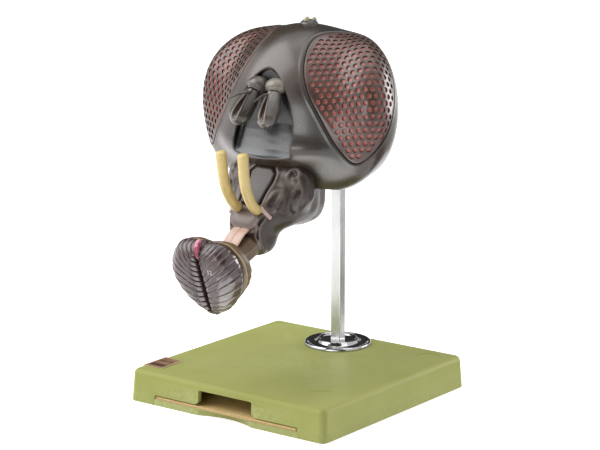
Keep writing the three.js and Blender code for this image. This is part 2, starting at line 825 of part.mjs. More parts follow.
const makeAntenna = (group, name, side, carrier) => {
  const place = new THREE.Vector3(side * pedicelSide, pedicelY, pedicelZ);
  const pedicelBall = (grow) => ellipsoid(grownBy(pedicelRadii, grow), place);
  const pedicel = pedicelBall(0).subtract(carrier);
  addNode(group, `antenna_pedicel_${name}`, mainPiece(pedicel), material(headBrown, 0.4));

  const tip = new THREE.Vector3(...mirrored(funiculusTip, side));
  const along = tip.clone().sub(place).normalize();
  const middle = place.clone().lerp(tip, 0.5);
  const dome = 0.22;
  const sizeAt = (grow) => (t) => {
    const swell = funiculusNarrowing + (1 - funiculusNarrowing) * Math.sin(Math.PI * (0.1 + 0.7 * t));
    const share = swell * domed(t, 0, dome);
    return [funiculusRadius * share + grow, funiculusDepth * share + grow];
  };
  const clubBar = (grow) => barAlong([place, middle, tip], sizeAt(grow), stations(5, 0, dome));
  const outward = new THREE.Vector3(0, -1, 0).addScaledVector(along, along.y).normalize();
  const grooveAt = place.clone().lerp(tip, 0.6).addScaledVector(outward, funiculusDepth);
  const club = clubBar(0)
    .subtract(pedicelBall(fitGap))
    .subtract(ellipsoid(grooveRadii, grooveAt, ballDetail, along))
    .subtract(carrier);
  addNode(group, `antenna_club_${name}`, mainPiece(club), material(headBrown, 0.4));

  const root = new THREE.Vector3(...mirrored(aristaRoot, side));
  const end = new THREE.Vector3(...mirrored(aristaTip, side));
  const bend = root.clone().lerp(end, 0.5);
  bend.z += aristaArch;
  const taper = (t) => [aristaRadius * (1 - aristaTaper * t), aristaRadius * (1 - aristaTaper * t)];
  const arista = barAlong([root, bend, end], taper, stations(5), fineBarSides)
    .subtract(clubBar(fitGap))
    .subtract(pedicelBall(fitGap));
  addNode(group, `arista_${name}`, mainPiece(arista), material(headBrown, 0.4));
};

const makeOcelli = (group) => {
  const top = surfaceAlong(headField(0), [0, ocelliY, 0], [0, 0, 1]).z;
  const [low, high] = [top - tubercleRoot, top + tubercleHeight];
  const cone = new THREE.CylinderGeometry(
    tubercleRadius * tubercleNarrowing, tubercleRadius, high - low, 16);
  cone.rotateX(Math.PI / 2);
  cone.translate(0, ocelliY, (high + low) / 2);
  const tubercle = toSolid(cone).subtract(headOuter(fitGap, headDetail));
  addNode(group, 'ocellar_tubercle', mainPiece(tubercle), material(headBrown, 0.42));
  ['front', 'right', 'left'].forEach((name, i) => {
    const angle = -Math.PI / 2 + (i * 2 * Math.PI) / 3;
    const x = ocellusSpacing * Math.cos(angle);
    const y = ocelliY + ocellusSpacing * Math.sin(angle);
    const reach = ocellusRadius + cutMargin;
    const flat = box(
      x - reach, x + reach, y - reach, y + reach, high - reach, high + fitGap);
    const lens = ellipsoid([ocellusRadius, ocellusRadius, ocellusRadius], [x, y, high], lensDetail);
    addNode(group, `ocellus_${name}`, lens.subtract(flat), material(paleYellow, 0.3));
  });
};

// How far a point lies in front of the rostrum's slanted face
const slantGap = (point) => {
  const face = slantFront - slantSlope * (slantHeight - point.z);
  return (face - point.y) / Math.hypot(1, slantSlope);
};

const rostrumField = (grow) => {
  const body = softUnion(rostrumCores, rostrumBlend, grow, rostrumSquareness);
  return (point) => Math.max(body(point), slantGap(point) - grow);
};
const rostrumOuter = (grow) =>
  starSolid(rostrumField(grow), rostrumHeart, rostrumDetail, mouthReach);

const makeRostrum = () => {
  const above = box(-headReach, headReach, -headReach, headReach, rostrumTop, headReach);
  const body = mainPiece(rostrumOuter(0).subtract(above).subtract(headGrown()));
  return body.add(rostrumPeg(0)).subtract(haustellumBody(fitGap));
};

const clypeusOutline = (grow) => {
  const shape = new THREE.Shape();
  shape.moveTo(-clypeusBottomHalf - grow, clypeusBottom - grow);
  shape.lineTo(clypeusBottomHalf + grow, clypeusBottom - grow);
  shape.lineTo(clypeusTopHalf + grow, clypeusTop + grow);
  shape.lineTo(-clypeusTopHalf - grow, clypeusTop + grow);
  return prismAlongY(shape, -headReach, rostrumHeart[1]);
};

const clypeusSlab = (grow) =>
  rostrumOuter(clypeusThickness + grow).intersect(clypeusOutline(grow));

const makeClypeus = () =>
  mainPiece(clypeusSlab(0).subtract(rostrumOuter(fitGap)).subtract(headGrown()));

const palpBar = (side, grow) => {
  const dome = 0.08;
  const sizeAt = (t) => {
    const swell = palpRootShare + (1 - palpRootShare) * t;
    const size = palpRadius * swell * domed(t, 0, dome) + grow;
    return [size, size];
  };
  return barAlong(palpCurve.map((p) => mirrored(p, side)), sizeAt, stations(9, 0, dome));
};

const stubBar = (side) => barAlong(
  stubCurve.map((p) => mirrored(p, side)), () => [stubRadius, stubRadius], stations(3),
  fineBarSides);

const haustellumBody = (grow) => barAlong(
  haustellumCurve,
  (t) => haustellumRootHalf.map((root, i) => root + t * (haustellumEndHalf[i] - root) + grow),
  stations(6), 16);

const labrumBody = (grow) => barAlong(
  labrumCurve, () => [labrumWidth / 2 + grow, labrumThickness / 2 + grow], stations(6));

// A place on the labellum, from across, down and forward to the head's own directions
const onLabellum = (across, down, forward) => {
  const tilt = THREE.MathUtils.degToRad(labellumTilt);
  const [sin, cos] = [Math.sin(tilt), Math.cos(tilt)];
  const [x, y, z] = labellumTop;
  return new THREE.Vector3(
    x + across, y + sin * down - cos * forward, z - cos * down - sin * forward);
};

const smoothOutline = (points, count) => {
  const curve = new THREE.CatmullRomCurve3(points.map(([u, v]) => new THREE.Vector3(u, v, 0)), true);
  return curve.getSpacedPoints(count).slice(0, -1);
};

const lobeSolid = (side) => {
  const outline = smoothOutline(lobeOutline, lobeSides);
  const [middleU, middleV] = lobeMiddle;
  const ring = (scale, forward) => outline.map(({ x, y }) => onLabellum(
    side * (lobeParting / 2 + Math.max(0, middleU + scale * (x - middleU))),
    middleV + scale * (y - middleV), forward));
  const rings = [ring(0.97, lobeBack)];
  for (let i = 0; i <= lobeDomeSteps; i += 1) {
    const angle = (0.96 * i * Math.PI) / (2 * lobeDomeSteps);
    const forward = lobeWidest + (lobeCrest - lobeWidest) * Math.sin(angle);
    rings.push(ring(Math.cos(angle) ** lobeRoundness, forward));
  }
  return loft(rings);
};

// The collar behind both lobes, narrowing back to the haustellum
const collarSolid = (grow) => {
  const rim = lobeOutline.filter(([u]) => u > lobeOutline[1][0]);
  const [top, bottom] = [[0, lobeOutline[1][1]], [0, lobeOutline.at(-2)[1]]];
  const left = rim.map(([u, v]) => [-u, v]).reverse();
  const outline = smoothOutline([top, ...rim, bottom, ...left], 2 * lobeSides);
  const rings = collarRings.map(([behind, wide, high], i) => {
    const wider = (2 * grow) / (top[1] + bottom[1]);
    const ends = i === 0 ? grow : -grow;
    return outline.map(({ x, y }) => onLabellum(
      (wide + wider) * x, collarMiddle + (high + wider) * (y - collarMiddle),
      lobeBack - fitGap - behind + ends));
  });
  return loft(rings);
};

const tissueBody = (grow) => barAlong(
  tissueCurve.map((place) => onLabellum(...place).toArray()),
  (t) => [tissueRadius * domed(t, 0.3, 0.3) + grow, tissueRadius * domed(t, 0.3, 0.3) + grow],
  stations(2, 0.3, 0.3), fineBarSides);

const makeMouthparts = (group) => {
  const rostrumGrown = rostrumOuter(fitGap);
  const clypeusGrown = clypeusSlab(fitGap);
  addNode(group, 'rostrum', makeRostrum(), material(headBrown, 0.42));
  addNode(group, 'clypeus_plate', makeClypeus(), material(headBrown, 0.42));
  for (const [name, side] of [['left', -1], ['right', 1]]) {
    const palp = palpBar(side, 0).subtract(rostrumGrown).subtract(clypeusGrown);
    addNode(group, `palp_${name}`, mainPiece(palp), material(paleYellow, 0.45));
    const stub = stubBar(side).subtract(rostrumGrown).subtract(palpBar(side, fitGap));
    addNode(group, `maxilla_${name}`, mainPiece(stub), material(stubPink, 0.3));
  }
  const haustellum = haustellumBody(0).subtract(labrumBody(fitGap));
  const collar = collarSolid(0).subtract(haustellumBody(fitGap));
  const labrum = labrumBody(0).subtract(rostrumGrown).subtract(collarSolid(fitGap));
  addNode(group, 'haustellum', mainPiece(haustellum), material(haustellumOlive, 0.45));
  addNode(group, 'labrum', mainPiece(labrum), material(labrumPink, 0.45));
  addNode(group, 'labellum_collar', mainPiece(collar), material(collarOlive, 0.5));
  for (const [name, side] of [['left', -1], ['right', 1]]) {
    const lobe = mainPiece(lobeSolid(side).subtract(tissueBody(fitGap)));
    addNode(group, `labellum_lobe_${name}`, lobe, material(lobeBrown, 0.35));
  }
  addNode(group, 'mouth_tissue', tissueBody(0), material(tissueRed, 0.35));
};

const makeSocket = () => {
  const [halfX, halfY] = [rodWidth, rodDepth].map((size) => size / 2 + fitGap);
  const bore = box(
    -halfX, halfX, rodY - halfY, rodY + halfY, -headCentreHeight, socketTop - socketCap);
  return socketBlock(0).intersect(headOuter(0, headDetail)).subtract(bore);
};

const head = new THREE.Group();
head.position.set(rodX, 0, headCentreHeight);
part.add(head);

addNode(part, 'base_shell', makeBaseShell(), material(baseGreen, 0.5));
addNode(part, 'bottom_board', makeBottomBoard(), material(baseGreen, 0.55));
screwPlaces.forEach((place, i) => {
  addNode(part, `board_screw_${i + 1}`, makeScrew(place), material(screwMetal, 0.3, 1));
});
addNode(part, 'booklet_cover', makeCover(), material(bookletTan, 0.8));
addNode(part, 'booklet_leaves', makeLeaves(), material(paperCream, 0.85));
addNode(part, 'name_label', makeLabel(), material(labelCopper, 0.5));
addNode(part, 'rosette', makeRosette(), material(brightMetal, 0.12, 1));
addNode(part, 'support_rod', makeRod(), material(brightMetal, 0.3, 1));
addNode(part, 'rod_washer', makeWasher(), material(screwMetal, 0.35, 1));
addNode(part, 'rod_nut', makeNut(), material(screwMetal, 0.35, 1));

makeHead(head);
addNode(head, 'neck_stump', makeNeck(), material(headBrown, 0.45));
addNode(head, 'rod_socket', makeSocket(), material(screwMetal, 0.4, 1));
const carrier = headGrown();
for (const [name, side] of [['left', -1], ['right', 1]]) makeAntenna(head, name, side, carrier);
makeOcelli(head);
makeMouthparts(head);

export default part;
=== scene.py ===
"""Looks of a much enlarged housefly head on a flat-sided rod and a moulded base.

Sizes in the classes are millimetres and become metres when a mesh is made. What belongs to the
head is measured from the head's centre, with left and right as seen from the front.
"""
from __future__ import annotations

import logging
import math
from collections.abc import Callable, Sequence
from dataclasses import dataclass, field
from enum import Enum
from typing import ClassVar

import bmesh
import bpy
import numpy as np
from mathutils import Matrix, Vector
from mathutils.geometry import delaunay_2d_cdt

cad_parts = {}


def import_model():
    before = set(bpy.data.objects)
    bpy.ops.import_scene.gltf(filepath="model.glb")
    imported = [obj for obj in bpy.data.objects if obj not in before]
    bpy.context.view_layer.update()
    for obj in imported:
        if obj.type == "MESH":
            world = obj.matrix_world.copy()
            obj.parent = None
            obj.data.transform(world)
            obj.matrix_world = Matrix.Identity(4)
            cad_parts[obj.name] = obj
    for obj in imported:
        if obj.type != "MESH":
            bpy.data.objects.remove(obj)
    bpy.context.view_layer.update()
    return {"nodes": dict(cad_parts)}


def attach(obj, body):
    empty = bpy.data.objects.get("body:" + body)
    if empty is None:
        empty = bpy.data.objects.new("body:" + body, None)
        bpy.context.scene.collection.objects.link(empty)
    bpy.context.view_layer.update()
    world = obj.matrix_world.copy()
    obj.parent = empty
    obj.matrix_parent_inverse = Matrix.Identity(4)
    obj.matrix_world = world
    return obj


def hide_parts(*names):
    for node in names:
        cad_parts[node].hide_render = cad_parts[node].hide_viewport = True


LOG = logging.getLogger("fly_head")
MM = 0.001
HEAD_CENTRE = np.array([-8.0, 0.0, 250.0])
WORLD_ORIGIN = np.zeros(3)

Pair = tuple[float, float]
Triple = tuple[float, float, float]
Colour = tuple[float, float, float, float]
Field = Callable[[np.ndarray], np.ndarray]


class Body(Enum):
    """The bodies that the object's pieces ride on."""

    STAND = "stand"
    HEAD = "head"
    BOOKLET = "booklet"


class Side(Enum):
    """The two sides of the head, as the sign of x."""

    LEFT = -1
    RIGHT = 1

    @property
    def word(self) -> str:
        """The side's name in lower case."""
        return self.name.lower()


def tint(red: float, green: float, blue: float) -> Colour:
    """Turn a colour as seen on a screen into the linear one that a shader takes.

    Args:
        red: Red, 0 to 255.
        green: Green, 0 to 255.
        blue: Blue, 0 to 255.

    Returns:
        Linear red, green, blue and an alpha of 1.
    """
    def one(value: float) -> float:
        """Turn one channel."""
        share = value / 255
        return share / 12.92 if share <= 0.04045 else ((share + 0.055) / 1.055) ** 2.4

    return (one(red), one(green), one(blue), 1.0)


def smooth_step(low: float, high: float, values: np.ndarray) -> np.ndarray:
    """Rise smoothly from 0 at low to 1 at high."""
    share = np.clip((values - low) / (high - low), 0, 1)
    return share * share * (3 - 2 * share)


def soft_max(first: np.ndarray, second: np.ndarray, round_by: float) -> np.ndarray:
    """Take the larger of two fields, with the corner between them rounded."""
    overlap = np.maximum(round_by - np.abs(first - second), 0) / round_by
    return np.maximum(first, second) + overlap * overlap * round_by * 0.25


def between(rise: Pair, fall: Pair, values: np.ndarray) -> np.ndarray:
    """Rise smoothly from 0 to 1 over one stretch of values, and fall back to 0 over another."""
    return smooth_step(*rise, values) * (1 - smooth_step(*fall, values))


def bell(offsets: np.ndarray | float, width: float) -> np.ndarray | float:
    """Give 1 where the offset is 0, falling away smoothly on both sides over about its width."""
    return np.exp(-((offsets / width) ** 2))


def unit(ways: np.ndarray) -> np.ndarray:
    """Bring vectors to a length of 1."""
    return ways / np.linalg.norm(ways, axis=-1, keepdims=True)


def lattice(*axes: np.ndarray) -> np.ndarray:
    """Give every combination of some axes' values, one row each."""
    return np.stack(np.meshgrid(*axes, indexing="ij"), -1).reshape(-1, len(axes))


def linked(name: str, content: bpy.types.ID) -> bpy.types.Object:
    """Make an object round a mesh, curve, light or camera, in the scene."""
    made = bpy.data.objects.new(name, content)
    bpy.context.scene.collection.objects.link(made)
    return made


def baked(piece: bpy.types.Object) -> bpy.types.Mesh:
    """Give an object's mesh as it looks with its modifiers."""
    bpy.context.view_layer.update()
    return bpy.data.meshes.new_from_object(piece.evaluated_get(bpy.context.evaluated_depsgraph_get()))


def turns(count: int) -> np.ndarray:
    """Give evenly spaced angles round a full turn."""
    return np.arange(count) * 2 * np.pi / count


def circle(angles: np.ndarray) -> np.ndarray:
    """Give the places at some angles of a circle of radius 1."""
    return np.stack([np.cos(angles), np.sin(angles)], -1)


def smooth_curve(points: Sequence[Sequence[float]], steps: int, closed: bool = False) -> np.ndarray:
    """Lay a smooth curve through points.

    Args:
        points: The places that the curve goes through.
        steps: How many steps there are from one point to the next.
        closed: Whether the curve comes back to its first point.

    Returns:
        The curve's places, one row each.
    """
    knots = np.asarray(points, float)
    if closed:
        padded = np.vstack([knots[-1:], knots, knots[:2]])
    else:
        padded = np.vstack([2 * knots[0] - knots[1], knots, 2 * knots[-1] - knots[-2]])
    shares = np.arange(steps)[:, None] / steps
    stretches = []
    for a, b, c, d in zip(padded, padded[1:], padded[2:], padded[3:]):
        stretches.append(0.5 * (
            2 * b + (c - a) * shares + (2 * a - 5 * b + 4 * c - d) * shares**2
            + (3 * b - a - 3 * c + d) * shares**3))
    places = np.vstack(stretches)
    return places if closed else np.vstack([places, knots[-1]])


def evenly(places: np.ndarray, count: int, closed: bool = False) -> np.ndarray:
    """Lay a number of places at even steps along a line.

    Args:
        places: The line's corners, one row each.
        count: How many places to lay.
        closed: Whether the line comes back to its first corner.

    Returns:
        The places, one row each.
    """
    line = np.vstack([places, places[:1]]) if closed else places
    lengths = np.concatenate([[0], np.cumsum(np.linalg.norm(np.diff(line, axis=0), axis=1))])
    wanted = np.linspace(0, lengths[-1], count + closed)[:count]
    return np.stack([np.interp(wanted, lengths, line[:, i]) for i in range(line.shape[1])], -1)


@dataclass
class Skin:
    """A mesh in the making: points in millimetres, faces, and masks with a value at each point."""

    points: np.ndarray
    faces: list[list[int]]
    masks: dict[str, np.ndarray] = field(default_factory=dict)

    def moved(self, shift: np.ndarray) -> Skin:
        """Give the same skin moved by a step."""
        return Skin(self.points + shift, self.faces, self.masks)

    def mirrored(self, side: Side) -> Skin:
        """Give the skin for one side of the head: itself on the right, its mirror on the left."""
        if side is Side.RIGHT:
            return self
        flipped = [face[::-1] for face in self.faces]
        return Skin(self.points * np.array([-1.0, 1.0, 1.0]), flipped, self.masks)

    def normals(self) -> np.ndarray:
        """Work out the direction that the skin faces at each point."""
        totals = np.zeros_like(self.points)
        by_corners: dict[int, list[list[int]]] = {}
        for face in self.faces:
            by_corners.setdefault(len(face), []).append(face)
        for faces in by_corners.values():
            corners = np.array(faces)
            middle = self.points[corners].mean(axis=1)
            for i in range(corners.shape[1]):
                here = self.points[corners[:, i]] - middle
                there = self.points[corners[:, (i + 1) % corners.shape[1]]] - middle
                facing = np.cross(here, there)
                np.add.at(totals, corners[:, i], facing)
                np.add.at(totals, corners[:, (i + 1) % corners.shape[1]], facing)
        return totals / np.maximum(np.linalg.norm(totals, axis=1, keepdims=True), 1e-12)

    def object(self, name: str, crease: float | None = None) -> bpy.types.Object:
        """Make the Blender object.

        Args:
            name: The object's name.
            crease: The angle in degrees over which an edge stays sharp, or None for all smooth.

        Returns:
            The object, linked to the scene, with its masks as point attributes.
        """
        mesh = bpy.data.meshes.new(name)
        mesh.from_pydata((self.points * MM).tolist(), [], self.faces)
        mesh.validate()
        for mask, values in self.masks.items():
            layer = mesh.attributes.new(mask, "FLOAT", "POINT")
            layer.data.foreach_set("value", np.asarray(values, np.float32))
        mesh.shade_smooth()
        if crease is not None:
            mesh.set_sharp_from_angle(angle=math.radians(crease))
        mesh.update()
        return linked(name, mesh)


def joined(skins: Sequence[Skin]) -> Skin:
    """Put several skins into one, with the masks that they share."""
    points, faces, start = [], [], 0
    for skin in skins:
        points.append(skin.points)
        faces.extend([[corner + start for corner in face] for face in skin.faces])
        start += len(skin.points)
    shared = set(skins[0].masks).intersection(*(skin.masks for skin in skins))
    masks = {mask: np.concatenate([skin.masks[mask] for skin in skins]) for mask in shared}
    return Skin(np.vstack(points), faces, masks)


def band(outer: np.ndarray, inner: np.ndarray) -> list[list[int]]:
    """Give the faces between two closed loops of points, given by their indices."""
    return np.stack([outer, np.roll(outer, -1), np.roll(inner, -1), inner], -1).tolist()


def facing_out(points: np.ndarray, faces: list[list[int]]) -> Skin:
    """Make a closed skin whose faces all look outwards."""
    corners = np.array([face[:3] for face in faces])
    a, b, c = (points[corners[:, i]] - points.mean(axis=0) for i in range(3))
    inward = np.einsum("ij,ij->i", a, np.cross(b, c)).sum() < 0
    return Skin(points, [face[::-1] for face in faces] if inward else faces)


def loft(rings: np.ndarray) -> Skin:
    """Join rings of equally many points into a closed skin.

    Args:
        rings: An array of rings, points and coordinates.

    Returns:
        The skin, with a fan of faces over each end.
    """
    count, sides = rings.shape[:2]
    points = np.vstack([rings.reshape(-1, 3), rings[0].mean(axis=0), rings[-1].mean(axis=0)])
    seats = np.arange(count * sides).reshape(count, sides)
    faces = [face for low, high in zip(seats, seats[1:]) for face in band(low, high)]
    for ring, middle in ((seats[0][::-1], count * sides), (seats[-1], count * sides + 1)):
        faces.extend([middle, int(a), int(b)] for a, b in zip(ring, np.roll(ring, -1)))
    return facing_out(points, faces)


def hoop(profile: Sequence[Pair], sides: int) -> Skin:
    """Turn a closed profile of radius and height about the Z axis, as round a washer."""
    rings = turned(profile, sides)
    seats = np.arange(len(rings) * sides).reshape(-1, sides)
    faces = [face for low, high in zip(seats, np.roll(seats, -1, axis=0)) for face in band(low, high)]
    return facing_out(rings.reshape(-1, 3), faces)


def sweep(curve: Sequence[Sequence[float]], size: Callable[[float, np.ndarray], np.ndarray],
          shares: np.ndarray, sides: int = 40) -> Skin:
    """Run a rounded section along a smooth curve.

    Args:
        curve: Places that the curve goes through.
        size: Gives the section's points (across, out) at a share of the way and all round angles.
        shares: Where along the curve the sections lie, 0 to 1.
        sides: Points in one section.

    Returns:
        The closed skin.
    """
    line = evenly(smooth_curve(curve, 24), 400)
    wanted = shares * (len(line) - 1)
    spots = np.stack([np.interp(wanted, np.arange(len(line)), line[:, i]) for i in range(3)], -1)
    slopes = np.gradient(line, axis=0)
    along = unit(np.stack([np.interp(wanted, np.arange(len(line)), slopes[:, i]) for i in range(3)], -1))
    rings = []
    for share, spot, way in zip(shares, spots, along):
        across = unit(np.array([1.0, 0, 0]) - way[0] * way)
        out = np.cross(way, across)
        section = size(float(share), turns(sides))
        rings.append(spot + section[:, :1] * across + section[:, 1:] * out)
    return loft(np.array(rings))


def dome_shares(steps: int, start: float = 0.0, end: float = 0.0, dome_steps: int = 9) -> np.ndarray:
    """Lay sections along a bar, closer together over the rounded stretch at either end."""
    turn = np.linspace(0, 0.985, dome_steps) * np.pi / 2
    middle = np.linspace(start, 1 - end, steps)
    head = start * (1 - np.sin(turn[::-1])) if start > 0 else np.array([])
    tail = 1 - end * (1 - np.sin(turn)) if end > 0 else np.array([])
    return np.unique(np.concatenate([head, middle, tail]))


def dome(share: float, start: float, end: float) -> float:
    """Size of a bar with rounded ends, as a part of its full size."""
    into = min(share / start if start > 0 else 1, (1 - share) / end if end > 0 else 1, 1)
    return max(math.sqrt(max(1 - (1 - into) ** 2, 0)), 0.02)


def turned(profile: Sequence[Pair], sides: int) -> np.ndarray:
    """Give the rings that a profile of radius and height makes about the Z axis."""
    flat = circle(turns(sides))
    return np.array([np.column_stack([radius * flat, np.full(sides, z)]) for radius, z in profile])


def lathe(profile: Sequence[Pair], sides: int = 128) -> Skin:
    """Turn a profile of radius and height about the Z axis into a closed skin."""
    return loft(turned(profile, sides))


class SurfaceNet:
    """Lays an even net of four-sided faces over the surface where a field is zero."""

    block: ClassVar[int] = 8
    corners: ClassVar[list[tuple[int, int, int]]] = [
        (a, b, c) for a in (0, 1) for b in (0, 1) for c in (0, 1)]

    def __init__(self, form: Field, low: Triple, high: Triple, cell: float,
                 stretch: float = 1.8) -> None:
        """Keep what the net needs.

        Args:
            form: The field, negative inside.
            low: Lowest corner of the space to look through.
            high: Highest corner of it.
            cell: Width of one cell of the net.
            stretch: How far the field may run ahead of true distance.
        """
        self.form = form
        self.low = np.array(low, float)
        self.cell = cell
        self.stretch = stretch
        size = (np.array(high, float) - self.low) / cell / self.block
        self.blocks = np.ceil(size).astype(int)

    def _values(self, near: np.ndarray) -> np.ndarray:
        """Read the field at every corner of the cells of some blocks."""
        corner = lattice(*3 * [np.arange(self.block + 1)])
        values = []
        for start in range(0, len(near), 300):
            chunk = near[start:start + 300]
            places = self.low + (chunk[:, None] * self.block + corner[None]) * self.cell
            values.append(self.form(places.reshape(-1, 3)).reshape(len(chunk), -1))
        side = self.block + 1
        return np.concatenate(values).reshape(-1, side, side, side)

    def _settled(self, points: np.ndarray, passes: int) -> np.ndarray:
        """Step points onto the surface."""
        probe = 0.05 * self.cell
        for _ in range(passes):
            value = self.form(points)
            slope = np.stack([self.form(points + probe * axis) - value for axis in np.eye(3)], -1) / probe
            step = value / np.maximum((slope**2).sum(axis=1), 0.2)
            step = np.clip(step, -0.4 * self.cell, 0.4 * self.cell)
            points = points - step[:, None] * slope
        return points

    def skin(self, passes: int = 2) -> Skin:
        """Lay the net.

        Args:
            passes: How often the points are stepped onto the surface.

        Returns:
            The skin, faces pointing out.
        """
        size = self.block
        blocks = lattice(*map(np.arange, self.blocks))
        centres = self.low + (blocks + 0.5) * size * self.cell
        reach = self.stretch * size * self.cell * math.sqrt(3) / 2
        near = blocks[np.abs(self.form(centres)) < reach]
        values = self._values(near)
        inside = values < 0
        held = sum(inside[(slice(None), *self._part(corner))].astype(np.int8) for corner in self.corners)
        cells = np.argwhere((held > 0) & (held < 8))
        whole = near[cells[:, 0]] * size + cells[:, 1:]
        points = self.low + (whole + self._crossings(values, cells)) * self.cell
        seat = np.full(tuple(self.blocks * size + 1), -1, np.int32)
        seat[tuple(whole.T)] = np.arange(len(whole))
        faces = np.vstack([self._quads(near, inside, seat, axis) for axis in range(3)])
        return Skin(self._settled(points, passes), faces.tolist())

    def _part(self, corner: Sequence[int]) -> list[slice]:
        """Give the part of a block's corners that lies at one corner of every cell."""
        return [slice(step, step + self.block) for step in corner]

    def _crossings(self, values: np.ndarray, cells: np.ndarray) -> np.ndarray:
        """Give the middle of the places where a cell's edges cross the surface, for each cell."""
        read = np.stack([values[tuple((cells + (0, *corner)).T)] for corner in self.corners], -1)
        total, count = np.zeros((len(cells), 3)), np.zeros(len(cells))
        for i, first in enumerate(self.corners):
            for j in range(i + 1, 8):
                way = np.subtract(self.corners[j], first)
                if np.abs(way).sum() != 1:
                    continue
                cut = (read[:, i] < 0) != (read[:, j] < 0)
                share = np.where(cut, read[:, i] / np.where(cut, read[:, i] - read[:, j], 1), 0)
                total += np.where(cut[:, None], np.array(first) + share[:, None] * way, 0)
                count += cut
        return total / count[:, None]

    def _quads(self, near: np.ndarray, inside: np.ndarray, seat: np.ndarray, axis: int) -> np.ndarray:
        """Lay the faces across the grid's edges along one axis, turned to look outwards."""
        here = inside[(slice(None), *self._part((0, 0, 0)))]
        edges = np.argwhere(here != inside[(slice(None), *self._part(np.eye(3, dtype=int)[axis]))])
        place = near[edges[:, 0]] * self.block + edges[:, 1:]
        around = []
        for steps in ((-1, -1), (0, -1), (0, 0), (-1, 0)):
            beside = place.copy()
            beside[:, [(axis + 1) % 3, (axis + 2) % 3]] += steps
            around.append(seat[tuple(beside.T)])
        quads = np.stack(around, 1)
        flip = ~here[tuple(edges.T)]
        quads[flip] = quads[flip][:, ::-1]
        return quads[(quads >= 0).all(axis=1)]


@dataclass(frozen=True)
class Core:
    """One rounded core of a soft form, mirrored about the middle plane."""

    at: Triple
    radii: Triple
    turn: Triple = (0.0, 0.0, 0.0)

    def gap(self, places: np.ndarray, squareness: float) -> np.ndarray:
        """Distance from places to the core, along the ray from its middle."""
        local = places.copy()
        local[:, 0] = np.abs(local[:, 0])
        local -= np.array(self.at)
        reach = np.linalg.norm(local, axis=1)
        if any(self.turn):
            local = local @ self._matrix()
        shares = np.abs(local / np.array(self.radii)) ** squareness
        return reach * (1 - 1 / np.maximum(shares.sum(axis=1) ** (1 / squareness), 1e-6))

    def _matrix(self) -> np.ndarray:
        """The core's turn, about X, then Y, then Z."""
        (cx, cy, cz), (sx, sy, sz) = np.cos(self.turn), np.sin(self.turn)
        about_x = np.array([[1, 0, 0], [0, cx, -sx], [0, sx, cx]])
        about_y = np.array([[cy, 0, sy], [0, 1, 0], [-sy, 0, cy]])
        about_z = np.array([[cz, -sz, 0], [sz, cz, 0], [0, 0, 1]])
        return about_z @ about_y @ about_x


@dataclass(frozen=True)
class SoftForm:
    """A soft union of rounded cores."""

    cores: tuple[Core, ...]
    blend: float
    squareness: float = 2.0

    def gap(self, places: np.ndarray) -> np.ndarray:
        """How far places are outside the form, negative inside."""
        gaps = np.stack([core.gap(places, self.squareness) for core in self.cores])
        least = gaps.min(axis=0)
        return least - self.blend * np.log(np.exp((least - gaps) / self.blend).sum(axis=0))


def line_gap(places: np.ndarray, line: Sequence[Sequence[float]]) -> np.ndarray:
    """Distance from places to a line through points, in as many coordinates as the points have."""
    knots = np.asarray(line, float)
    best = np.full(len(places), np.inf)
    for start, end in zip(knots, knots[1:]):
        way = end - start
        share = np.clip((places - start) @ way / (way @ way), 0, 1)
        best = np.minimum(best, np.linalg.norm(places - start - share[:, None] * way, axis=1))
    return best


HEAD_FORM = SoftForm((
    Core((0, 28, 5), (59, 55, 56)),
    Core((49, 32, -1), (28, 54, 57), (0.6, -0.02, 0.84)),
    Core((36, -1, -32), (44, 19, 35)),
    Core((0, 0, -8), (52, 37, 52)),
    Core((0, 17, 39), (35, 19, 15)),
    Core((0, -12, -31), (47, 31, 14)),
), blend=10)

ROSTRUM_FORM = SoftForm((
    Core((0, -22, -79), (31, 34, 19)),
    Core((0, 14, -77), (15, 23, 26)),
    Core((0, -27.5, -62), (42, 11.5, 20)),
    Core((0, -51, -100), (17, 16, 19)),
), blend=6, squareness=3)


def blank_material(name: str) -> tuple[bpy.types.Material, Nodes]:
    """Make a material without nodes, and give what adds nodes to it."""
    material = bpy.data.materials.new(name)
    material.use_nodes = True
    material.node_tree.nodes.clear()
    return material, Nodes(material.node_tree)


class Nodes:
    """Adds nodes to one shader tree."""

    def __init__(self, tree: bpy.types.ShaderNodeTree) -> None:
        """Keep the tree."""
        self.tree = tree

    def add(self, kind: str, values: dict[str, object] | None = None,
            **settings: object) -> bpy.types.Node:
        """Add a node.

        Args:
            kind: The node's type name.
            values: Input values by socket name; a socket here is linked instead.
            settings: The node's own settings.

        Returns:
            The node.
        """
        node = self.tree.nodes.new(kind)
        for setting, value in settings.items():
            setattr(node, setting, value)
        for socket, value in (values or {}).items():
            self.feed(value, node.inputs[socket])
        return node

    def feed(self, value: object, socket: bpy.types.NodeSocket) -> None:
        """Link a socket into another, or set its value."""
        if isinstance(value, bpy.types.NodeSocket):
            self.tree.links.new(value, socket)
        else:
            socket.default_value = value

    def math(self, way: str, *terms: object) -> bpy.types.NodeSocket:
        """Add one step of arithmetic and give its result."""
        node = self.add("ShaderNodeMath", operation=way)
        for term, socket in zip(terms, node.inputs):
            self.feed(term, socket)
        return node.outputs[0]

    def ranged(self, value: object, low: float, high: float, to_low: float = 0.0,
               to_high: float = 1.0) -> bpy.types.NodeSocket:
        """Map a value from one range to another, held within it."""
        return self.add("ShaderNodeMapRange", {
            "Value": value, "From Min": low, "From Max": high, "To Min": to_low, "To Max": to_high,
        }).outputs["Result"]

    def mixed(self, share: object, first: object, second: object) -> bpy.types.NodeSocket:
        """Mix two colours."""
        node = self.add("ShaderNodeMix", data_type="RGBA")
        for value, number in ((share, 0), (first, 6), (second, 7)):
            self.feed(value, node.inputs[number])
        return node.outputs[2]


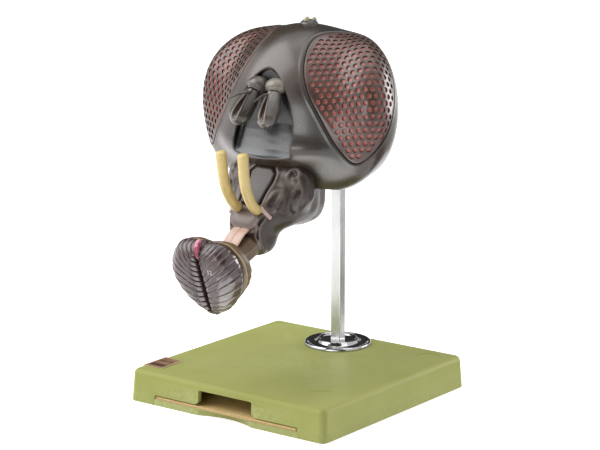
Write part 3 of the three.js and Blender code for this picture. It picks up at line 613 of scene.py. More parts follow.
class Effect(Enum):
    """The shared effects, each a node group that is built once."""

    MOTTLE = "mottle"
    GRAIN = "grain"
    BRUSHING = "brushing"
    DUST = "dust"
    EDGE_WEAR_AND_HIGHLIGHT = "edge_wear_and_highlight"

    def tree(self) -> bpy.types.ShaderNodeTree:
        """Give the effect's node group, built the first time."""
        made = bpy.data.node_groups.get(self.value)
        if made:
            return made
        tree = bpy.data.node_groups.new(self.value, "ShaderNodeTree")
        tree.interface.new_socket(name="Scale", in_out="INPUT", socket_type="NodeSocketFloat")
        tree.interface.new_socket(name="Mask", in_out="OUTPUT", socket_type="NodeSocketFloat")
        nodes = Nodes(tree)
        scale = nodes.add("NodeGroupInput").outputs["Scale"]
        mask = getattr(self, f"_{self.value}")(nodes, scale)
        nodes.add("NodeGroupOutput", {"Mask": mask})
        return tree

    def _noise(self, nodes: Nodes, scale: object, stretch: Triple = (1, 1, 1),
               detail: float = 3) -> object:
        """Noise in the object's own space, stretched along the axes."""
        place = nodes.add("ShaderNodeTexCoord").outputs["Object"]
        place = nodes.add("ShaderNodeMapping", {"Vector": place, "Scale": stretch}).outputs["Vector"]
        return nodes.add("ShaderNodeTexNoise", {
            "Vector": place, "Scale": scale, "Detail": detail, "Roughness": 0.55}).outputs[0]

    def _mottle(self, nodes: Nodes, scale: object) -> object:
        """Soft uneven patches, such as thin paint leaves."""
        return nodes.ranged(self._noise(nodes, scale), 0.36, 0.66)

    def _grain(self, nodes: Nodes, scale: object) -> object:
        """A fine even grain."""
        return self._noise(nodes, scale, detail=2)

    def _brushing(self, nodes: Nodes, scale: object) -> object:
        """Long streaks along the height."""
        return self._noise(nodes, scale, (1, 1, 0.012), detail=2)

    def _dust(self, nodes: Nodes, scale: object) -> object:
        """Thin dust on what faces up."""
        facing = nodes.add("ShaderNodeNewGeometry").outputs["Normal"]
        up = nodes.add("ShaderNodeSeparateXYZ", {"Vector": facing}).outputs["Z"]
        settled = nodes.ranged(up, 0.45, 1.0)
        return nodes.math("MULTIPLY", settled, nodes.ranged(self._noise(nodes, scale), 0.42, 0.72))

    def _edge_wear_and_highlight(self, nodes: Nodes, scale: object) -> object:
        """Rubbed edges that are also lightened as a painted highlight, broken up by patches."""
        sharp = nodes.ranged(nodes.add("ShaderNodeNewGeometry").outputs["Pointiness"], 0.53, 0.62)
        return nodes.math("MULTIPLY", sharp, nodes.ranged(self._noise(nodes, scale), 0.35, 0.6))


@dataclass(frozen=True)
class Layer:
    """A colour that shows where a mask of the mesh lies in a range."""

    mask: str
    colour: Colour
    low: float
    high: float


@dataclass(frozen=True)
class Finish:
    """What every finish of the model has: its name, two colours that mottle, and its gloss."""

    name: str
    base: Colour
    shade: Colour
    roughness: Pair = (0.3, 0.42)
    patches: float = 45.0
    grain: float = 1400.0
    grain_depth: float = 0.03
    coat: float = 0.0
    coat_roughness: float = 0.12
    specular: float = 0.5
    dust: float = 0.08
    # How much rubbed wear the sharp edges show, and its colour, which also paints a highlight on those
    # edges.
    wear_and_highlight: float = 0.0
    worn_and_highlight: Colour = tint(200, 196, 190)
    metal: float = 0.0
    streaked: bool = False
    layers: tuple[Layer, ...] = ()
    seam: float | None = None
    wear_and_highlight_scale: ClassVar[float] = 300.0
    dust_scale: ClassVar[float] = 60.0
    dust_colour: ClassVar[Colour] = tint(205, 200, 188)

    def material(self) -> bpy.types.Material:
        """Give the finish's material, built the first time."""
        made = bpy.data.materials.get(self.name)
        if made:
            return made
        material, nodes = blank_material(self.name)
        patches = self._effect(nodes, Effect.MOTTLE, self.patches)
        colour = nodes.mixed(patches, self.base, self.shade)
        for layer in self.layers:
            mask = nodes.add("ShaderNodeAttribute", attribute_name=layer.mask).outputs["Fac"]
            colour = nodes.mixed(nodes.ranged(mask, layer.low, layer.high), colour, layer.colour)
        for effect, scale, amount, over in ((Effect.EDGE_WEAR_AND_HIGHLIGHT, self.wear_and_highlight_scale, self.wear_and_highlight, self.worn_and_highlight),
                                            (Effect.DUST, self.dust_scale, self.dust, self.dust_colour)):
            if amount > 0:
                share = nodes.math("MULTIPLY", self._effect(nodes, effect, scale), amount)
                colour = nodes.mixed(share, colour, over)
        texture = self._effect(nodes, Effect.BRUSHING if self.streaked else Effect.GRAIN, self.grain)
        height = texture
        if self.seam is not None:
            height = nodes.math("SUBTRACT", height, self._seam_line(nodes))
        bump = nodes.add("ShaderNodeBump", {
            "Strength": 1.0, "Distance": self.grain_depth * MM, "Height": height})
        low, high = self.roughness
        surface = nodes.add("ShaderNodeBsdfPrincipled", {
            "Base Color": colour, "Metallic": self.metal, "Coat Weight": self.coat,
            "Coat Roughness": self.coat_roughness, "Specular IOR Level": self.specular,
            "Roughness": nodes.ranged(texture, 0.3, 0.7, low, high), "Normal": bump.outputs["Normal"]})
        nodes.add("ShaderNodeOutputMaterial", {"Surface": surface.outputs["BSDF"]})
        return material

    def _effect(self, nodes: Nodes, effect: Effect, scale: float) -> bpy.types.NodeSocket:
        """Use a shared effect at a scale."""
        node = nodes.add("ShaderNodeGroup", node_tree=effect.tree())
        node.inputs["Scale"].default_value = scale
        return node.outputs["Mask"]

    def _seam_line(self, nodes: Nodes) -> bpy.types.NodeSocket:
        """A hairline groove across the Y axis, where two mouldings meet."""
        place = nodes.add("ShaderNodeTexCoord").outputs["Object"]
        along = nodes.add("ShaderNodeSeparateXYZ", {"Vector": place}).outputs["Y"]
        off = nodes.math("ABSOLUTE", nodes.math("SUBTRACT", along, self.seam * MM))
        return nodes.ranged(off, 0.0, 0.4 * MM, 6.0, 0.0)

    def dress(self, piece: bpy.types.Object) -> None:
        """Put the finish on a piece in place of what it has."""
        if piece.material_slots:
            for slot in piece.material_slots:
                slot.material = self.material()
        else:
            piece.data.materials.append(self.material())


# The head paint's first layer darkens the inside of the antennae's pit as painted shade.
HEAD_PAINT = Finish(
    "head_satin_paint", tint(44, 42, 37), tint(60, 42, 29), (0.26, 0.38), patches=17.0, grain=900.0,
    grain_depth=0.005, coat=0.28, coat_roughness=0.17, specular=0.66, dust=0.03, seam=42.15,
    # The second layer paints a lighter, bluer band at the pit's foot as a painted reflection.
    layers=(Layer("pit", tint(14, 16, 15), 0.1, 1.0), Layer("pit_foot", tint(56, 67, 69), 0.1, 1.0)))
# In the mouth paint, the crest layer lightens the rolled skin beside each crease as a painted highlight,
# and the fold layer darkens the creases as painted shade.
FACE_PAINT = Finish(
    "mouth_satin_paint", tint(62, 53, 47), tint(52, 38, 33), (0.32, 0.44), patches=55.0, grain=800.0,
    grain_depth=0.008, coat=0.2, coat_roughness=0.14, specular=0.4, dust=0.03,
    layers=(Layer("crest", tint(122, 108, 99), 0.2, 1.1), Layer("fold", tint(18, 13, 11), 0.08, 0.6),
            Layer("block", tint(124, 110, 104), 0.2, 1.0)))
# The antenna paint's lip layer is a painted highlight on the groove's rim and on the cups.
ANTENNA_PAINT = Finish(
    "antenna_satin_paint", tint(104, 98, 90), tint(70, 64, 58), (0.24, 0.36), patches=70.0,
    grain=900.0, grain_depth=0.012, coat=0.3, coat_roughness=0.2, dust=0.03,
    layers=(Layer("lip", tint(150, 143, 130), 0.3, 1.0), Layer("shade", tint(60, 53, 46), 0.0, 1.0),
            # The hollow layer is reddish-brown paint inside the groove, darkened further as painted shade.
            Layer("hollow", tint(78, 54, 46), 0.2, 0.9)))
# The eye paint's dark dimple walls are dark paint that also stands for the shade inside each dimple; the
# pink floors are the paint's own.
EYE_PAINT = Finish(
    "eye_dimpled_paint", tint(98, 72, 63), tint(72, 56, 49), (0.26, 0.38), patches=60.0, grain=1100.0,
    grain_depth=0.01, coat=0.3, dust=0.02,
    layers=(Layer("dimple", tint(32, 18, 16), 0.08, 0.2), Layer("dimple", tint(190, 100, 88), 0.72, 0.82)))
LENS_PAINT = Finish(
    "ocellus_cream_paint", tint(190, 182, 142), tint(156, 148, 116), (0.2, 0.3), patches=200.0, coat=0.3)
PALP_PAINT = Finish(
    "palp_yellow_paint", tint(236, 212, 144), tint(224, 196, 124), (0.3, 0.42), patches=80.0,
    grain=900.0, grain_depth=0.03, coat=0.1, dust=0.02)
STUB_PAINT = Finish(
    "stub_pink_paint", tint(226, 204, 198), tint(206, 170, 164), (0.22, 0.34), patches=160.0,
    coat=0.2, dust=0.02)
STALK_PAINT = Finish(
    "stalk_olive_paint", tint(116, 94, 66), tint(92, 72, 54), (0.34, 0.48), patches=70.0,
    grain=800.0, grain_depth=0.05, dust=0.03)
# The labrum paint darkens the middle groove as painted shade.
LABRUM_PAINT = Finish(
    "labrum_pale_paint", tint(226, 198, 184), tint(218, 180, 165), (0.34, 0.46), patches=110.0,
    grain=900.0, dust=0.02, layers=(Layer("groove", tint(196, 152, 136), 0.35, 0.9),))
# The collar paint's rim layer is a painted highlight along the collar's front edge.
COLLAR_PAINT = Finish(
    "collar_olive_paint", tint(110, 88, 60), tint(88, 68, 47), (0.34, 0.48), patches=60.0,
    grain=800.0, grain_depth=0.05, dust=0.03,
    layers=(Layer("rim", tint(188, 166, 128), 0.4, 1.0),))
# The cushion paint lightens the ribs' edges as a painted highlight and darkens the grooves between them as
# painted shade.
CUSHION_PAINT = Finish(
    "cushion_brown_paint", tint(74, 49, 48), tint(54, 34, 36), (0.24, 0.36), patches=70.0,
    grain=900.0, grain_depth=0.006, coat=0.6, specular=0.5, dust=0.02,
    layers=(Layer("ridge", tint(206, 182, 174), 0.3, 1.0), Layer("valley", tint(20, 10, 12), 0.2, 0.9),
            Layer("crimson", tint(70, 14, 26), 0.2, 1.0)))
# The tissue paint's light layer lightens the fold's up-facing top as a painted highlight.
TISSUE_PAINT = Finish(
    "tissue_crimson_paint", tint(190, 84, 112), tint(156, 50, 82), (0.24, 0.36), patches=150.0,
    coat=0.2, dust=0.0, layers=(Layer("light", tint(230, 152, 172), 0.2, 0.9),))
FIGURE_PAINT = Finish(
    "figure_white_paint", tint(238, 236, 230), tint(224, 220, 212), (0.4, 0.5), patches=300.0, dust=0.0)
# The base and the board have lighter sharp edges: rubbed wear and a painted highlight together.
BASE_PLASTIC = Finish(
    "base_green_plastic", tint(168, 172, 99), tint(162, 166, 94), (0.4, 0.5), patches=18.0,
    grain=1600.0, grain_depth=0.03, specular=0.15, dust=0.03, wear_and_highlight=0.5, worn_and_highlight=tint(208, 210, 164))
BOARD_PLASTIC = Finish(
    "board_green_plastic", tint(168, 174, 102), tint(158, 164, 95), (0.44, 0.56), patches=24.0,
    grain=1300.0, grain_depth=0.04, dust=0.04, wear_and_highlight=0.4, worn_and_highlight=tint(205, 206, 160))
LABEL_FOIL = Finish(
    "label_copper_foil", tint(190, 150, 108), tint(156, 108, 80), (0.28, 0.38), patches=120.0,
    grain=1500.0, metal=0.35, dust=0.05,
    layers=(Layer("band", tint(96, 58, 44), 0.4, 0.6), Layer("border", tint(222, 200, 160), 0.4, 0.6)))
CHROME = Finish(
    "rosette_mirror_chrome", tint(182, 182, 184), tint(174, 174, 176), (0.05, 0.09), patches=40.0,
    grain=900.0, grain_depth=0.002, metal=1.0, dust=0.03)
ROD_METAL = Finish(
    "rod_brushed_metal", tint(204, 204, 203), tint(194, 194, 193), (0.22, 0.34), patches=30.0,
    grain=2600.0, grain_depth=0.006, metal=0.9, streaked=True, dust=0.0)
STEEL = Finish(
    "fastener_dull_steel", tint(188, 188, 186), tint(172, 172, 170), (0.26, 0.4), patches=200.0,
    grain=1800.0, grain_depth=0.01, metal=1.0, dust=0.05)
SOCKET_METAL = Finish(
    "socket_dark_metal", tint(120, 118, 114), tint(100, 98, 94), (0.36, 0.5), patches=150.0,
    grain=1500.0, grain_depth=0.01, metal=1.0, dust=0.05)
COVER_CARD = Finish(
    "booklet_tan_card", tint(236, 204, 146), tint(226, 190, 130), (0.6, 0.75), patches=50.0,
    grain=1800.0, grain_depth=0.03, dust=0.0)
LEAF_PAPER = Finish(
    "leaf_cream_paper", tint(250, 238, 198), tint(244, 230, 186), (0.7, 0.82), patches=70.0,
    grain=2200.0, grain_depth=0.02, dust=0.0)


@dataclass
class Fitter:
    """Hands finished pieces to the frame and says so in the log."""

    shift: np.ndarray
    body: Body

    def put(self, skin: Skin, name: str, finish: Finish, slot: str, *replaced: str,
            crease: float | None = None) -> bpy.types.Object:
        """Make a piece, dress it and tie it to the model.

        Args:
            skin: The piece's mesh, from this fitter's origin.
            name: The piece's name.
            finish: Its finish.
            slot: The record's material slot; not used.
            replaced: The CAD nodes that it stands for.
            crease: The angle over which its edges stay sharp, or None.

        Returns:
            The piece's object.
        """
        piece = skin.moved(self.shift).object(name, crease)
        finish.dress(piece)
        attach(piece, self.body.value)
        if replaced:
            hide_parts(*replaced)
        LOG.info("%s: %d faces on %s", name, len(skin.faces), self.body.value)
        return piece


@dataclass(frozen=True)
class Softbox:
    """A square lamp, in metres and watts."""

    name: str
    at: Triple
    width: float
    power: float
    aim: Triple = (-0.01, 0.0, 0.19)
    gloss_only: bool = False


@dataclass(frozen=True)
class Card:
    """A plain cloth or card out of the picture, in metres, so that gloss has something dark to show."""

    name: str
    at: Triple
    half: Pair
    grey: float
    aim: Triple = (-0.01, 0.0, 0.19)
    gloss_only: bool = True


@dataclass
class Studio:
    """Pale floor, soft light and the camera at the photograph's viewing angle."""

    camera_at: Triple = (1140.74, -1511.65, 573.13)
    aim: Triple = (-64.913, 87.741, 123.0)
    focal: float = 138.0
    sensor: float = 36.0
    floor_half: float = 8.0
    floor_grey: float = 240.0
    floor_glow: float = 0.62
    room_light: float = 0.34
    softboxes: tuple[Softbox, ...] = (
        Softbox("key_softbox", (-1.35, -1.05, 1.75), 2.1, 46.0),
        Softbox("side_softbox", (0.9, 1.5, 0.4), 1.0, 22.0),
        Softbox("front_softbox", (0.33, -1.45, 0.4), 0.4, 3.0),
        Softbox("top_softbox", (0.1, 0.2, 2.1), 1.6, 10.0),
        Softbox("back_softbox", (-0.7, 1.9, 1.3), 1.2, 8.0),
        Softbox("glint_softbox", (0.055, -0.105, 0.05), 0.13, 0.15, (0.052, -0.016, 0.2), gloss_only=True))
    cards: tuple[Card, ...] = (
        Card("dark_cloth", (1.36, -1.84, 0.95), (1.25, 0.9), 26, gloss_only=False),
        Card("grey_card", (0.22, 0.4, 0.09), (0.35, 0.09), 190, (-0.008, 0.067, 0.09)),
        Card("floor_card", (0.37, 0.54, 0.003), (0.28, 0.4), 96, (0.37, 0.54, 1.0)),
        Card("dark_backcloth", (-0.78, 1.04, 0.85), (1.1, 0.7), 60))

    def build(self) -> None:
        """Build the floor, the world, the lamps, the cards and the camera."""
        self._sheet("floor", (self.floor_half, self.floor_half), self.floor_grey, 0.6, 0.5, self.floor_glow)
        self._world()
        for softbox in self.softboxes:
            self._lamp(softbox)
        for card in self.cards:
            sheet = self._sheet(card.name, card.half, card.grey, 0.95, 0.1)
            self._point(sheet, card.at, card.aim, "Z")
            sheet.visible_camera = False
            sheet.visible_diffuse = sheet.visible_shadow = not card.gloss_only
        self._camera()

    def _point(self, thing: bpy.types.Object, at: Sequence[float], aim: Sequence[float], axis: str) -> None:
        """Put a thing at a place, with one of its axes towards another place."""
        thing.location = at
        thing.rotation_euler = (Vector(aim) - Vector(at)).to_track_quat(axis, "Y").to_euler()

    def _sheet(self, name: str, half: Pair, grey: float, roughness: float, specular: float,
               glow: float = 0.0) -> bpy.types.Object:
        """Make a flat plain sheet that is only part of the stage.

        Args:
            name: The sheet's name.
            half: Half its width and height, in metres.
            grey: How pale it is, 0 to 255.
            roughness: Its roughness.
            specular: Its specular level.
            glow: Its own light, as the camera and gloss see it.

        Returns:
            The sheet.
        """
        wide, high = half
        mesh = bpy.data.meshes.new(name)
        mesh.from_pydata([(-wide, -high, 0), (wide, -high, 0), (wide, high, 0), (-wide, high, 0)], [],
                         [(0, 1, 2, 3)])
        sheet = linked(name, mesh)
        material, nodes = blank_material(name)
        values = {"Base Color": tint(grey, grey, grey), "Roughness": roughness,
                  "Specular IOR Level": specular}
        if glow > 0:
            values["Emission Color"] = (1, 1, 1, 1)
            values["Emission Strength"] = nodes.math("MULTIPLY", self._white_to_rays(nodes), glow)
        surface = nodes.add("ShaderNodeBsdfPrincipled", values)
        nodes.add("ShaderNodeOutputMaterial", {"Surface": surface.outputs["BSDF"]})
        mesh.materials.append(material)
        return sheet

    def _lamp(self, softbox: Softbox) -> None:
        """Hang a softbox."""
        light = bpy.data.lights.new(softbox.name, "AREA")
        light.shape = "SQUARE"
        light.size = softbox.width
        light.energy = softbox.power
        lamp = linked(softbox.name, light)
        self._point(lamp, softbox.at, softbox.aim, "-Z")
        if softbox.gloss_only:
            lamp.visible_camera = lamp.visible_diffuse = False

    def _white_to_rays(self, nodes: Nodes) -> bpy.types.NodeSocket:
        """Say where a ray comes from the camera, a mirror or glass."""
        path = nodes.add("ShaderNodeLightPath").outputs
        seen = nodes.math("ADD", path["Is Camera Ray"], path["Is Glossy Ray"])
        seen = nodes.math("ADD", seen, path["Is Transmission Ray"])
        return nodes.math("MINIMUM", seen, 1.0)

    def _world(self) -> None:
        """Fill the room with an even pale light."""
        world = bpy.data.worlds.new("studio_world")
        world.use_nodes = True
        world.node_tree.nodes.clear()
        nodes = Nodes(world.node_tree)
        level = nodes.ranged(self._white_to_rays(nodes), 0.0, 1.0, self.room_light, 1.0)
        light = nodes.add("ShaderNodeBackground", {"Color": (1, 1, 1, 1), "Strength": level})
        nodes.add("ShaderNodeOutputWorld", {"Surface": light.outputs[0]})
        bpy.context.scene.world = world

    def _camera(self) -> None:
        """Set the camera up and the plain view."""
        lens = bpy.data.cameras.new("photo_camera")
        lens.lens = self.focal
        lens.sensor_width = self.sensor
        lens.clip_end = 50
        camera = linked("photo_camera", lens)
        self._point(camera, Vector(self.camera_at) * MM, Vector(self.aim) * MM, "-Z")
        bpy.context.scene.camera = camera
        bpy.context.scene.view_settings.view_transform = "Standard"


def walk_out(form: Field, start: np.ndarray, ways: np.ndarray, reach: float = 170.0) -> np.ndarray:
    """Find where rays from inside a field leave it.

    Args:
        form: The field, negative inside.
        start: The place that all rays start from.
        ways: The rays' directions, one unit row each.
        reach: How far out to look.

    Returns:
        The places on the surface.
    """
    low, high = np.zeros(len(ways)), np.full(len(ways), reach)
    for _ in range(30):
        half = (low + high) / 2
        inside = form(start + half[:, None] * ways) < 0
        low, high = np.where(inside, half, low), np.where(inside, high, half)
    return start + low[:, None] * ways


def slope_of(form: Field, places: np.ndarray, probe: float = 0.2) -> np.ndarray:
    """Unit directions in which a field grows at some places."""
    return unit(np.stack([form(places + probe * axis) - form(places - probe * axis)
                          for axis in np.eye(3)], -1))


@dataclass
class EyeChart:
    """A flat chart of the right eye, seen from a place deep inside the head."""

    heart: Triple = (38.0, 22.0, 0.0)
    margin: tuple[Triple, ...] = (
        (24, 5, 58), (26, -14, 45), (35, -26, 22), (48, -26, -1), (61, -22, -23), (75, -13, -40),
        (87, -3, -29), (92, 10, -8), (88, 21, 15), (77, 29, 35), (55, 34, 56), (34, 28, 62))
    nodes: int = 320
    beyond: float = 0.4

    def __post_init__(self) -> None:
        """Chart how far each direction lies from the margin."""
        ring = unit(smooth_curve(self.margin, 24, closed=True) - np.array(self.heart))
        axis = unit(ring.mean(axis=0))
        across = unit(np.cross(axis, (0, 0, 1)))
        self.frame = np.stack([across, np.cross(across, axis), axis])
        edge = self.flat(ring)
        self.span = float(np.abs(edge).max()) + self.beyond
        flat = lattice(*2 * [np.linspace(-self.span, self.span, self.nodes)])
        away = np.arccos(np.clip((self.unflat(flat) @ ring.T).max(axis=1), -1, 1))
        self.table = np.where(self.within(flat, edge), -away, away).reshape(self.nodes, self.nodes)

    def flat(self, ways: np.ndarray) -> np.ndarray:
        """Put unit directions on the chart."""
        across, up, along = (ways @ self.frame.T).T
        turn = np.arccos(np.clip(along, -1, 1))
        scale = turn / np.maximum(np.sin(turn), 1e-6)
        return np.stack([across * scale, up * scale], -1)

    def unflat(self, flat: np.ndarray) -> np.ndarray:
        """Turn places on the chart back into unit directions."""
        turn = np.maximum(np.hypot(flat[:, 0], flat[:, 1]), 1e-9)
        side = flat * (np.sin(turn) / turn)[:, None]
        return side @ self.frame[:2] + np.cos(turn)[:, None] * self.frame[2]

    def within(self, flat: np.ndarray, edge: np.ndarray) -> np.ndarray:
        """Say which places on the chart are inside a closed line."""
        inside = np.zeros(len(flat), bool)
        for (x0, y0), (x1, y1) in zip(edge, np.roll(edge, -1, axis=0)):
            spans = (y0 > flat[:, 1]) != (y1 > flat[:, 1])
            cut = x0 + (flat[:, 1] - y0) * (x1 - x0) / (y1 - y0 if y1 != y0 else 1e-12)
            inside ^= spans & (flat[:, 0] < cut)
        return inside

    def seen(self, places: np.ndarray) -> tuple[np.ndarray, np.ndarray]:
        """Give the chart positions of places on either side of the head, and their distances."""
        away = places.copy()
        away[:, 0] = np.abs(away[:, 0])
        away -= np.array(self.heart)
        reach = np.maximum(np.linalg.norm(away, axis=1), 1e-6)
        return self.flat(away / reach[:, None]), reach

    def edge_gap(self, places: np.ndarray) -> np.ndarray:
        """How far places are outside the eye's margin, in millimetres, negative inside."""
        flat, reach = self.seen(places)
        spot = np.clip((flat / self.span + 1) / 2 * (self.nodes - 1), 0, self.nodes - 1.001)
        low = spot.astype(int)
        share = spot - low
        x, y = low[:, 0], low[:, 1]
        near = self.table[x, y] * (1 - share[:, 1]) + self.table[x, y + 1] * share[:, 1]
        far = self.table[x + 1, y] * (1 - share[:, 1]) + self.table[x + 1, y + 1] * share[:, 1]
        return (near * (1 - share[:, 0]) + far * share[:, 0]) * reach


@dataclass
class HeadShell:
    """The hollow head: face, crown and back, with the antennae's pit and the eyes' seats."""

    chart: EyeChart
    wall: float = 5.2
    face_wall_from: float = -21.0
    groove: float = 0.8
    seat_depth: float = 3.5
    rim_height: float = 0.3
    rim_at: float = 2.4
    rim_width: float = 1.1
    pit_half_width: float = 29.0
    pit_top: float = 34.0
    pit_shoulder: float = -25.0
    pit_bottom: float = -38.5
    pit_floor: tuple[Pair, ...] = (
        (-43.0, -41.4), (-41.0, -38.5), (-36.6, -32.0), (-33.3, -25.0), (-30.9, -18.0), (-29.0, -11.0),
        (-28.6, 12.0), (-28.0, 36.0))
    socket_half: Pair = (8.6, 7.6)
    socket_y: float = 67.5
    socket_top: float = 11.3
    neck_z: float = 14.0
    neck_hole: float = 12.3
    neck_from: float = 42.0
    pit_power: float = 2.2
    pit_round: float = 0.625
    # Heights over which the painted reflection band at the pit's foot rises and fades.
    pit_foot: tuple[Pair, Pair] = ((-43.0, -40.0), (-37.0, -31.0))
    cell: float = 1.0

    def _pit_width(self, share: np.ndarray) -> np.ndarray:
        """Half the pit's width at shares of the way up its arch."""
        return self.pit_half_width * (1 - share**self.pit_power) ** self.pit_round

    def pit(self, places: np.ndarray) -> np.ndarray:
        """The antennae's pit as a field, negative inside."""
        x, y, z = np.abs(places[:, 0]), places[:, 1], places[:, 2]
        value = np.full(len(places), 8.0)
        near = (x < 40) & (y < -12) & (z > -52) & (z < 44)
        x, y, z = x[near], y[near], z[near]
        rise = self.pit_top - self.pit_shoulder
        heights = self.pit_shoulder + rise * np.sin(np.linspace(0, 1, 26) * np.pi / 2)
        widths = self._pit_width((heights - self.pit_shoulder) / rise)
        outline = [(0, self.pit_bottom), (self.pit_half_width, self.pit_bottom), *zip(widths, heights)]
        gap = line_gap(np.stack([x, z], -1), outline)
        share = np.clip((z - self.pit_shoulder) / rise, 0, 1)
        held = (x < self._pit_width(share)) & (z > self.pit_bottom) & (z < self.pit_top)
        outline_gap = np.where(held, -gap, gap)
        floor = np.array(self.pit_floor)
        behind = y - np.interp(z, floor[:, 1], floor[:, 0])
        value[near] = soft_max(outline_gap, behind * 0.9, 2.0)
        return value

    def form(self, places: np.ndarray) -> np.ndarray:
        """The shell as a field."""
        skin = HEAD_FORM.gap(places)
        edge = self.chart.edge_gap(places)
        raised = skin - self.rim_height * bell(edge - self.rim_at, self.rim_width)
        seat = np.maximum(edge - self.groove, -(skin + self.seat_depth))
        outer = soft_max(raised, -seat, 0.8)
        outer = soft_max(outer, -self.pit(places), 1.8)
        hollow = soft_max(skin + self.wall, self.face_wall_from - places[:, 1], 2.0)
        shell = np.maximum(outer, -hollow)
        x, y, z = places.T
        (half_x, half_y), off = self.socket_half, np.abs(y - self.socket_y)
        socket = np.maximum(np.maximum(np.abs(x) - half_x, off - half_y), z - self.socket_top)
        bore = np.maximum(np.hypot(x, z - self.neck_z) - self.neck_hole, self.neck_from - y)
        return np.maximum(np.maximum(shell, -socket), -bore)

    def build(self, fitter: Fitter) -> None:
        """Build the shell."""
        cell = self.cell
        skin = SurfaceNet(self.form, (-102, -52, -66), (102, 96, 76), cell).skin()
        deep = smooth_step(-0.6, -3.0, HEAD_FORM.gap(skin.points)) * (self.pit(skin.points) < 1.5)
        # The deep inside of the pit is painted darker as painted shade.
        skin.masks["pit"] = deep
        # A band at the pit's foot is painted lighter and bluer as a painted reflection.
        skin.masks["pit_foot"] = deep * between(*self.pit_foot, skin.points[:, 2])
        fitter.put(skin, "head_shell", HEAD_PAINT, "head_paint", "head_front_shell", "head_back_shell")


